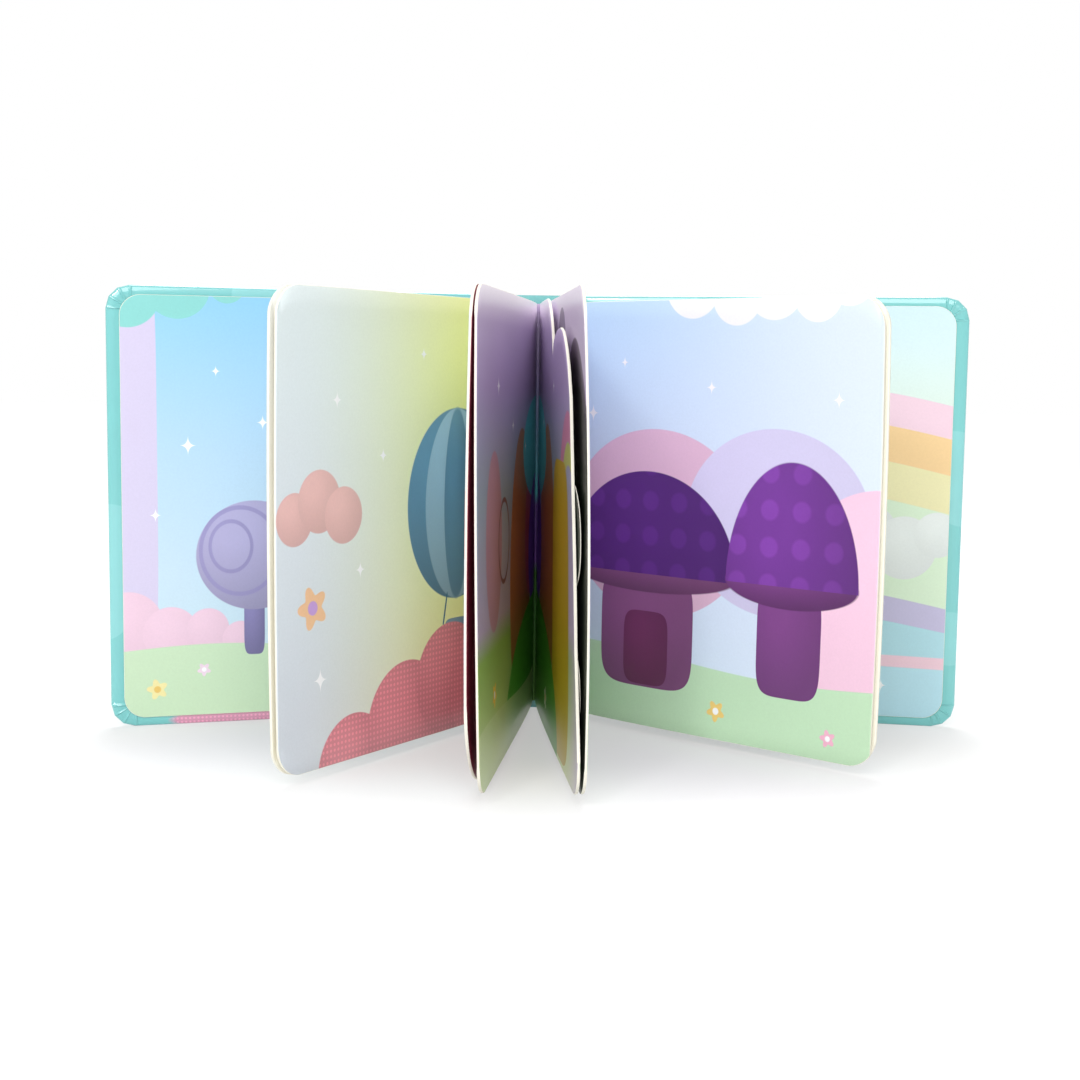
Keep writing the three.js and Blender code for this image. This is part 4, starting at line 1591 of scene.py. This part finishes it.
PRINTS = (
    PagePrint("meadow_left", BLUE_SKY, (0.9, 1.0, "#D4EBFB"), (
        Shape(BLOCK, 4, 112, 11, 90, "#D9CFEA"),
        *cloud(((3, 182, 14), (24, 186, 14), (45, 187, 8)), "#8FD8D2", 0.0),
        *cloud(((2, 40, 15), (20, 36, 12), (36, 38, 9), (50, 33, 8)), "#F3CFE1", 0.08),
        Shape(SWELL, 40, 29, 26, 2.4, "#CCE4C1"),
        Shape(BLOCK, 56, 40, 4.5, 14, "#8E86B8", 0.3),
        Shape(SPOT, 56, 70, 25, 24, "#B9B2D8", 0.3),
        Shape(RING, 50, 72, 17, 19, "#A29AC9", 0.1, width=0.05),
        Shape(RING, 46, 74, 9, 11, "#A29AC9", 0.1, width=0.08),
        *flower(14, 12, 4.6, "#F4E7A6", "#EDC66B"),
        *flower(34, 20, 3.0, "#F2D9E8", "#FFFFFF"),
        *sparks(((28, 118, 4.5), (14, 88, 3.2), (60, 128, 3.5), (40, 150, 2.6))),
    )),
    PagePrint("meadow_right", BLUE_SKY, (0.0, 1.0, "#DFF2E6"), (
        *cloud(((120, 168, 14), (140, 172, 17), (160, 170, 13)), "#F3CFE1", 0.08),
        Shape(SPOT, 150, 24, 70, 46, "#D9CFEA", 0.1),
        Shape(SPOT, 40, 20, 66, 38, "#BFE3D2", 0.1),
        Shape(SWELL, 20, 30, 30, 3, "#CCE4C1"),
        *flower(30, 14, 5, "#F3B9CF", "#FFFFFF"),
        *flower(96, 18, 5, "#F4E7A6", "#EDC66B"),
        *sparks(((50, 130, 4), (90, 110, 5), (128, 120, 3.5))),
    )),
    PagePrint("balloon_left", ((0.0, "#D6DCE3"), (0.5, "#E2EAF0"), (1.0, "#EAF4F4")),
              (0.04, 0.8, "#F6F9A0"), (
        *cloud(((10, 96, 10), (24, 102, 12), (38, 96, 11)), "#F2C3BE", 0.2),
        *flower(20, 62, 8.5, "#F6C79A", "#C9A0DC"),
        Shape(SPOT, 112, 96, 34, 40, "#6E9FBE", 0.5),
        Shape(SPOT, 112, 96, 22, 40, "#A9CFE6", 0.4),
        Shape(SPOT, 112, 96, 9, 40, "#6E9FBE", 0.4),
        Shape(BLOCK, 104, 52, 0.5, 7, "#2E6A86", turn=-12),
        Shape(BLOCK, 120, 52, 0.5, 7, "#2E6A86", turn=12),
        Shape(BLOCK, 112, 42, 8, 5.5, "#7F9FB4", 0.4),
        *(Shape(DOTTED, x, y, r, r, "#D98790", 0.35, width=2.2) for x, y, r in (
            (44, -4, 22), (78, 8, 26), (108, 22, 24), (140, 16, 32), (172, 30, 26))),
        *sparks(((24, 34, 5), (48, 74, 3.6), (62, 118, 3.2), (34, 140, 3.6), (88, 158, 3))),
    )),
    PagePrint("balloon_right", ((0.0, "#E5EBD0"), (0.5, "#EEF2D0"), (1.0, "#EAF4F4")),
              (0.1, 1.0, "#DDE9F2"), (
        *cloud(((150, 100, 12), (164, 104, 14), (178, 98, 12)), "#F2C3BE", 0.2),
        Shape(BLOCK, 70, 110, 22, 22, "#A9CFE6", 0.3, turn=45),
        Shape(BLOCK, 70, 110, 10, 22, "#6E9FBE", 0.3, turn=45),
        *cloud(((8, 24, 28), (44, 10, 28), (80, -2, 24), (120, -6, 22)), "#E08C96", 0.3),
        *sparks(((30, 150, 4), (110, 140, 5), (130, 70, 3.6))),
    )),
    # The near-white last stop of both dusk skies is a painted band of light at the very top, where
    # light falls in over the leaves.
    PagePrint("dusk_left", ((0.0, "#D3DDA6"), (0.14, "#B4CC82"), (0.26, "#8FB85C"),
                            (0.32, "#B9A8C4"), (0.58, "#9DB0C4"), (0.8, "#BBA8CE"),
                            (0.93, "#CBB9DA"), (1.0, "#FFF6FF")),
              (0.9, 1.6, "#7FA850"), (
        Shape(SPOT, 118, 66, 34, 62, "#BC7A48", 0.3),
        Shape(SPOT, 40, 88, 20, 34, "#C696AC", 0.2),
        Shape(SPOT, 150, 84, 18, 30, "#C25A6A", 0.2),
        Shape(SPOT, 177, 118, 54, 23, "#7FD2DC", 0.1),
        Shape(SPOT, 177, 74, 32, 32, "#8E58C0", 0.1),
        Shape(SPOT, 177, 0, 110, 52, "#5BA838", 0.1),
        Shape(SWELL, 20, 20, 40, 3, "#C5D79C"),
        Shape(RING, 66, 86, 14, 16, "#6A3A4A", width=0.06),
        *flower(40, 30, 5, "#F0C64A", "#FFFFFF"),
        *sparks(((90, 130, 4), (50, 146, 5), (130, 120, 3.6))),
    )),
    PagePrint("dusk_right", ((0.0, "#D6E0A8"), (0.14, "#BCD28A"), (0.26, "#A2BE6A"),
                             (0.32, "#C2B2CC"), (0.6, "#9DB0BC"), (0.8, "#B5A2C8"),
                             (0.93, "#C4B2D4"), (1.0, "#F6ECFA")),
              (0.7, 1.1, "#C4B3D2"), (
        Shape(SPOT, 60, 70, 34, 60, "#BC7A48", 0.3),
        Shape(RING, 150, 70, 40, 62, "#D98CA8", cut=-0.3, width=0.09),
        Shape(RING, 150, 70, 33, 52, "#C9CF6A", cut=-0.3, width=0.08),
        Shape(BLOCK, 118, 60, 30, 58, "#D8B826", 0.25),
        Shape(SPOT, 0, 118, 54, 23, "#7FD2DC", 0.1),
        Shape(SPOT, 0, 74, 32, 32, "#8E58C0", 0.1),
        Shape(SPOT, 0, 0, 110, 52, "#5BA838", 0.1),
        *flower(60, 14, 5, "#F4F1E2", "#EDC66B"),
        *sparks(((40, 130, 4), (90, 146, 4))),
    )),
    PagePrint("grove_left", ((0.0, "#C9E0BE"), (0.3, "#D8D0E6"), (1.0, "#E4D6EC")),
              (0.0, 1.0, "#E2D6EA"), (
        Shape(SPOT, 40, 60, 40, 50, "#C7B2DA", 0.2),
        Shape(SWELL, 20, 30, 30, 3, "#C5E6C0"),
        *sparks(((50, 130, 4), (120, 120, 5))),
    )),
    PagePrint("grove_right", ((0.0, "#D3E6F6"), (0.6, "#D6E8FA"), (1.0, "#C6E4FF")),
              (0.2, 1.0, "#E2EFFE"), (
        *cloud(((88, 188, 14), (110, 183, 12), (128, 187, 14), (148, 183, 11),
                (162, 190, 12)), "#FCFDFF", 0.0),
        Shape(SPOT, 70, 88, 48, 40, "#EBC3DA", 0.12),
        Shape(SPOT, 130, 92, 44, 38, "#DCD7F4", 0.1),
        Shape(SPOT, 178, 62, 42, 46, "#FDD3E7", 0.08),
        Shape(SWELL, 30, 31, 34, 3.0, "#C5E6C0"),
        *mushroom(8, 24, (9, 44), (23, 56), ("#4A2272", "#3E1A5E")),
        *mushroom(66, 17, (25, 50), (46, 44), ("#93588C", "#5F2C86")),
        *mushroom(138, 22, (15, 46), (31, 50), ("#84488C", "#7C3F9E")),
        Shape(BLOCK, 66, 34, 12, 16, "#783464", 0.3),
        *flower(22, 12, 4.4, "#F08CA8", "#FFFFFF"),
        *flower(104, 12, 4.6, "#F2D078", "#FFFFFF"),
        *flower(158, 9, 3.6, "#F4B6CC", "#FFFFFF"),
        *sparks(((34, 134, 4.2), (98, 146, 3.2), (158, 142, 3.6), (52, 156, 2.6))),
    )),
    PagePrint("terraces_left", ((0.0, "#B5DBE4"), (0.5, "#E2F1EE"), (1.0, "#DDF4FB")),
              (0.2, 1.0, "#E9F6EA"), (
        Shape(SWELL, 60, 96, 40, 7, "#F0D3E4"),
        Shape(SWELL, 90, 78, 46, 7, "#F3D2A0"),
        Shape(SWELL, 30, 58, 40, 7, "#E6EBB8"),
        Shape(SWELL, 70, 38, 44, 7, "#B4D9DE"),
        *sparks(((50, 140, 4), (110, 130, 4))),
    )),
    PagePrint("terraces_right", ((0.0, "#ABD2DB"), (0.66, "#E0EDDC"), (0.84, "#DAEDE9"),
                                 (1.0, "#D2EBF6")),
              (0.99, 1.6, "#E9F6EA"), (
        Shape(SWELL, 118, 137, 42, 10, "#F0D0DE"),
        Shape(SWELL, 116, 123, 42, 10, "#F3CF98"),
        Shape(SWELL, 112, 108, 42, 10, "#ECE6B4"),
        Shape(SWELL, 108, 92, 42, 10, "#D9EED2"),
        *cloud(((128, 76, 11), (142, 82, 13), (158, 76, 14), (172, 82, 10)), "#E9EFEC", 0.12),
        Shape(SWELL, 104, 50, 44, 9, "#C4BEDC"),
        Shape(SWELL, 100, 40, 44, 8, "#B2DCE6"),
        Shape(SWELL, 90, 27, 60, 1.6, "#F0CCD8"),
        Shape(SWELL, 80, 22, 60, 1.6, "#B9E0EC"),
        *sparks(((150, 14, 3.0), (120, 152, 3.4))),
    )),
    PagePrint("inside_rose", ((0.0, "#8C2F45"), (0.5, "#A23A52"), (1.0, "#B0566C")),
              (0.0, 1.0, "#7A2338"), (
        *cloud(((40, 40, 30), (90, 30, 34), (140, 44, 30)), "#C46A7C", 0.3),
        *sparks(((60, 130, 5), (120, 120, 5)), "#F0C8D0"),
    )),
    PagePrint("inside_cream", ((0.0, "#F6F1DE"), (0.6, "#FBF8EC"), (1.0, "#F3F4F0")),
              (0.0, 1.0, "#FAF6E6"), (
        Shape(SPOT, 60, 70, 44, 50, "#F2E3DC", 0.1),
        *cloud(((40, 150, 14), (60, 154, 16), (80, 150, 13)), "#E4EFF4", 0.1),
        *sparks(((120, 130, 5), (30, 120, 4)), "#E6D9A8"),
    )),
    # Painted shadow: this page lies in the dark slot behind the die-cut leaf. Its sky darkens to
    # near black at the foot, the small spot under its top is the die cut's painted shadow, and the
    # stacked dark spots and block are the slot's painted shade.
    PagePrint("inside_painted_shadow", ((0.0, "#3C4A33"), (0.6, "#8C7A9A"), (1.0, "#E8DCEE")),
              (0.99, 1.6, "#E2D6EA"), (
        Shape(SPOT, 90, 165, 15, 12, "#857890"),
        Shape(SPOT, 142, 62, 54, 102, "#655866"),
        Shape(SPOT, 144, 58, 54, 99, "#463F46"),
        Shape(SPOT, 146, 54, 54, 94, "#2C2D28"),
        Shape(BLOCK, 150, 40, 44, 80, "#232B1F"),
        *sparks(((40, 140, 4),)),
    )),
    PagePrint("inside_lilac", ((0.0, "#A9BE8E"), (0.3, "#A48FB2"), (1.0, "#E0D2E8")),
              (0.0, 1.0, "#D8C8E2"), (
        Shape(SPOT, 90, 60, 60, 46, "#8A729E", 0.3),
        Shape(SWELL, 20, 26, 30, 3, "#A9C898"),
        *sparks(((60, 140, 5), (130, 150, 4))),
    )),
)

LEAVES = (
    Leaf(-10, -32.5, -0.6, -1.3, "meadow_right", "inside_cream"),
    Leaf(-8, -32.7, 0, -1, "inside_cream", "balloon_left"),
    Leaf(-4, -6.59, 0.5, -1, "balloon_right", "inside_rose", low_corner=34),
    Leaf(-2, -6.57, -2.5, -0.66, "inside_rose", "dusk_left"),
    Leaf(2, 4.66, -4.4, 0.8, "dusk_right", "inside_lilac", die_cut=True),
    Leaf(4, 4.66, -2.9, 1.47, "inside_painted_shadow", "grove_left"),
    Leaf(20, 48.3, 0.2, 2, "grove_right", "inside_cream", low_shift=2),
    Leaf(20, 48.3, 0.2, 2, "inside_cream", "terraces_left"),
)


# Studio


@dataclass(frozen=True)
class Studio:
    """The pale floor with a painted shadow round the book, the soft lamps and the camera."""

    camera_place: tuple[float, float, float] = (1.99, -743.3, 155.6)
    pitch: float = 5.942
    roll: float = 0.724
    lens: float = 53.95
    sensor: float = 36.0
    floor_half: float = 6.0
    floor_tone: str = "#F7F7F7"
    # The darker floor colour that the camera sees: with the low glow near the book it makes the
    # painted shadow.
    shadow_paint_tone: str = "#A3A3A3"
    # The floor's glow to the camera rises between these distances, so it ends in white. Nearer the
    # book it stays low over a darker floor colour, and so paints a grey shadow oval there under
    # any light.
    shadow_reach: tuple[float, float] = (0.1, 0.24)
    shadow_glow: tuple[float, float] = (0.41, 0.85)
    shadow_oval: tuple[float, float, float] = (0.82, 1.0, 1.0)
    room_light: float = 0.42
    aim: tuple[float, float, float] = (0.0, -0.06, 0.09)
    # Name, place, side in metres and power in watts of each lamp
    lamps: tuple[tuple[str, tuple[float, float, float], float, float], ...] = (
        ("lamp_front", (-0.1, -1.35, 1.0), 1.0, 14.0),
        ("lamp_glint", (-0.45, -1.2, 0.9), 0.16, 2.5),
        ("lamp_back", (0.0, 0.65, 1.3), 0.9, 15.0))

    def make_camera(self) -> None:
        """Sets the camera at the photograph's viewing angle."""
        data = bpy.data.cameras.new("camera")
        data.lens = self.lens
        data.sensor_width = self.sensor
        data.clip_start = 0.01
        camera = bpy.data.objects.new("camera", data)
        turn = Matrix.Rotation(math.radians(90 - self.pitch), 4, "X") @ Matrix.Rotation(
            math.radians(self.roll), 4, "Z")
        place = Vector(self.camera_place) * MM
        camera.matrix_world = Matrix.Translation(place) @ turn
        bpy.context.scene.collection.objects.link(camera)
        bpy.context.scene.camera = camera

    def make_floor(self) -> None:
        """Makes the floor, white to the camera apart from a painted shadow oval round the book and
        the real shadow on it.
        """
        mesh = bpy.data.meshes.new("floor")
        size = self.floor_half
        mesh.from_pydata([(-size, -size, 0), (size, -size, 0), (size, size, 0),
                          (-size, size, 0)], [], [(0, 1, 2, 3)])
        floor = new_piece("floor", mesh)
        material, tree = start_material("pale_floor_painted_shadow")
        seen = seen_mask(tree)
        shade = add_node(tree, MIX, {
            SHARE: seen, UNDER: linear(self.floor_tone), OVER: linear(self.shadow_paint_tone)},
            data_type="RGBA")
        matt = add_node(tree, "ShaderNodeBsdfDiffuse", {"Color": shade})
        place = result(add_node(tree, COORDINATES), "Object")
        # Painted shadow: the glow to the camera drops in an oval round the book.
        oval = add_node(tree, VECTOR, {0: place, 1: self.shadow_oval}, operation="MULTIPLY")
        away = add_node(tree, VECTOR, {0: oval}, operation="LENGTH")
        lift = add_node(tree, RANGE, {
            "Value": away, "From Min": self.shadow_reach[0],
            "From Max": self.shadow_reach[1], "To Min": self.shadow_glow[0],
            "To Max": self.shadow_glow[1]}, interpolation_type="SMOOTHSTEP")
        glow = add_node(tree, MATH, {0: seen, 1: lift}, operation="MULTIPLY")
        light = add_node(tree, "ShaderNodeEmission", {"Strength": glow})
        both = add_node(tree, "ShaderNodeAddShader", {0: matt, 1: light})
        add_node(tree, "ShaderNodeOutputMaterial", {"Surface": both})
        mesh.materials.append(material)

    def make_world(self) -> None:
        """Lights the scene from all round and shows white behind it."""
        world = bpy.data.worlds.new("studio")
        world.use_nodes = True
        tree = world.node_tree
        tree.nodes.clear()
        seen = seen_mask(tree)
        level = add_node(tree, RANGE, {"Value": seen, "To Min": self.room_light, "To Max": 1.0})
        back = add_node(tree, "ShaderNodeBackground", {
            "Color": (1.0, 1.0, 1.0, 1.0), "Strength": level})
        add_node(tree, "ShaderNodeOutputWorld", {"Surface": back})
        bpy.context.scene.world = world

    def make_lamp(
        self, name: str, place: tuple[float, float, float], size: float, power: float,
    ) -> None:
        """Adds a square soft lamp that points at the middle of the book.

        Args:
            name: Its name.
            place: Where it hangs, in metres.
            size: The length of its side, in metres.
            power: Its power in watts.
        """
        data = bpy.data.lights.new(name, "AREA")
        data.shape = "SQUARE"
        data.size = size
        data.energy = power
        lamp = bpy.data.objects.new(name, data)
        aim = Vector(self.aim) - Vector(place)
        lamp.matrix_world = Matrix.Translation(Vector(place)) @ aim.to_track_quat(
            "-Z", "Y").to_matrix().to_4x4()
        bpy.context.scene.collection.objects.link(lamp)

    def build(self) -> None:
        """Makes the whole studio."""
        self.make_camera()
        self.make_floor()
        self.make_world()
        for lamp in self.lamps:
            self.make_lamp(*lamp)
        bpy.context.scene.view_settings.view_transform = "Standard"


# Pop ups


@dataclass(frozen=True)
class Tab:
    """One thin tab of a folded pop up, which bows away from the leaf that it lies beside.

    low and high are its heights at the fold of the pop up, and offs the distances of its free
    edge from the leaf's middle at its foot, middle and top.
    """

    low: float
    high: float
    offs: tuple[float, float, float]
    start: float = 134.0
    reach: float = 168.5
    thickness: float = 0.3
    rows: int = 14
    columns: int = 8
    clear: float = 0.74
    end_round: float = 9.0

    def points(self, block: PageBlock, index: int) -> tuple[list, list]:
        """Builds the tab's mesh data.

        Args:
            block: The page block.
            index: The leaf that the tab lies beside.

        Returns:
            Points in metres, and faces.
        """
        rows, columns = self.rows, self.columns
        points: list[tuple[float, float, float]] = []
        for side in (-0.5, 0.5):
            for i in range(rows + 1):
                share = i / rows
                z = self.low + (self.high - self.low) * share
                edge = self.offs[0] * (1 - share) * (1 - 2 * share) + self.offs[1] * (
                    4 * share * (1 - share)) + self.offs[2] * share * (2 * share - 1)
                tip = self.reach - self.end_round * (2 * share - 1) ** 4
                for j in range(columns + 1):
                    s = self.start + (tip - self.start) * j / columns
                    lift = self.clear + (edge - self.clear) * (j / columns) ** 2
                    x, y = block.point(index, s, lift + side * self.thickness, z)
                    points.append((x * MM, y * MM, z * MM))
        wide = columns + 1
        half = (rows + 1) * wide
        faces: list[tuple[int, ...]] = []
        for i in range(rows):
            for j in range(columns):
                a = i * wide + j
                faces.append((a, a + 1, a + wide + 1, a + wide))
                faces.append((half + a, half + a + wide, half + a + wide + 1, half + a + 1))
        rim = list(range(wide))
        rim += [i * wide + columns for i in range(1, rows + 1)]
        rim += [rows * wide + j for j in range(columns - 1, -1, -1)]
        rim += [i * wide for i in range(rows - 1, 0, -1)]
        for k, a in enumerate(rim):
            b = rim[(k + 1) % len(rim)]
            faces.append((a, b, half + b, half + a))
        return points, faces


@dataclass(frozen=True)
class PopUps:
    """The folded pop ups: the CAD solids in coated card, and the tabs that come to the edge, whose
    faces are near black as painted shade.
    """

    tabs: tuple[Tab, ...] = (
        Tab(78, 115, (0.85, 1.75, 0.9)), Tab(31, 55, (1.75, 1.3, 0.85)))
    leaf: int = 4
    count: int = 4

    def build(
        self, block: PageBlock, card: Material, edge: Material, tab_face_shade: Material,
    ) -> Object:
        """Dresses the solids and makes the tabs.

        Args:
            block: The page block.
            card: The finish of the pop ups.
            edge: The finish of the tabs' cut edges.
            tab_face_shade: The finish of the tabs' faces, near black: painted shade
            for the dark gap between the tabs and the leaf.

        Returns:
            The piece with the tabs.
        """
        for number in range(1, self.count + 1):
            dress_node(f"pop_up_{number}", card)
        points: list[tuple[float, float, float]] = []
        faces: list[tuple[int, ...]] = []
        for tab in self.tabs:
            more, sides = tab.points(block, self.leaf)
            faces += [tuple(i + len(points) for i in side) for side in sides]
            points += more
        mesh = mesh_from("pop_up_tabs", points, faces)
        mesh.materials.append(edge)
        mesh.materials.append(tab_face_shade)
        per_tab = len(faces) // len(self.tabs)
        for number, polygon in enumerate(mesh.polygons):
            on_face = number % per_tab < 2 * Tab.rows * Tab.columns
            polygon.material_index = 1 if on_face else 0
        piece = new_piece("pop_up_tabs", mesh)
        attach(piece, "book")
        return piece


def main() -> None:
    """Builds the book round the CAD frame, and the studio."""
    logging.basicConfig(level=logging.INFO, format="%(name)s: %(message)s")
    Studio().build()
    prints = {design.name: LaminatedPrint(design).build() for design in PRINTS}
    edge = CutCard().build()
    wrap = CaseWrap().build()
    pop_up_card = PlainCard("pop_up_card", "#DCE6D6").build()

    block = PageBlock(LEAVES)
    for index in range(len(LEAVES)):
        piece = block.make_leaf(index, prints, edge)
        LOG.info("made %s with %d faces", piece.name, len(piece.data.polygons))
    LOG.info("made %s", block.make_backs(GutterPrint().build()).name)

    covers = (
        (Cover(Side.FRONT, 17.1, 3.1), "meadow_left", "#BFE6FC"),
        (Cover(Side.BACK, 10.4, 2.1), "terraces_right", "#E2F2EE"),
    )
    for cover, page, ink in covers:
        joint = PlainCard(f"{cover.side.value}_joint_card", ink, 0.35).build()
        for piece in (
            cover.make_board(wrap), cover.make_end_card(prints[page], edge),
            cover.make_pleats(wrap), cover.make_wrap_joint(wrap),
            cover.make_end_joint(block, joint),
        ):
            LOG.info("made %s", piece.name)

    dress_node("spine", wrap)
    # Near-black tab faces: painted shade for the gap between the tabs and the leaf.
    shade = PlainCard("pop_up_painted_shade", "#2E382C").build()
    LOG.info("made %s", PopUps().build(block, pop_up_card, edge, shade).name)


if __name__ == "__main__":
    main()
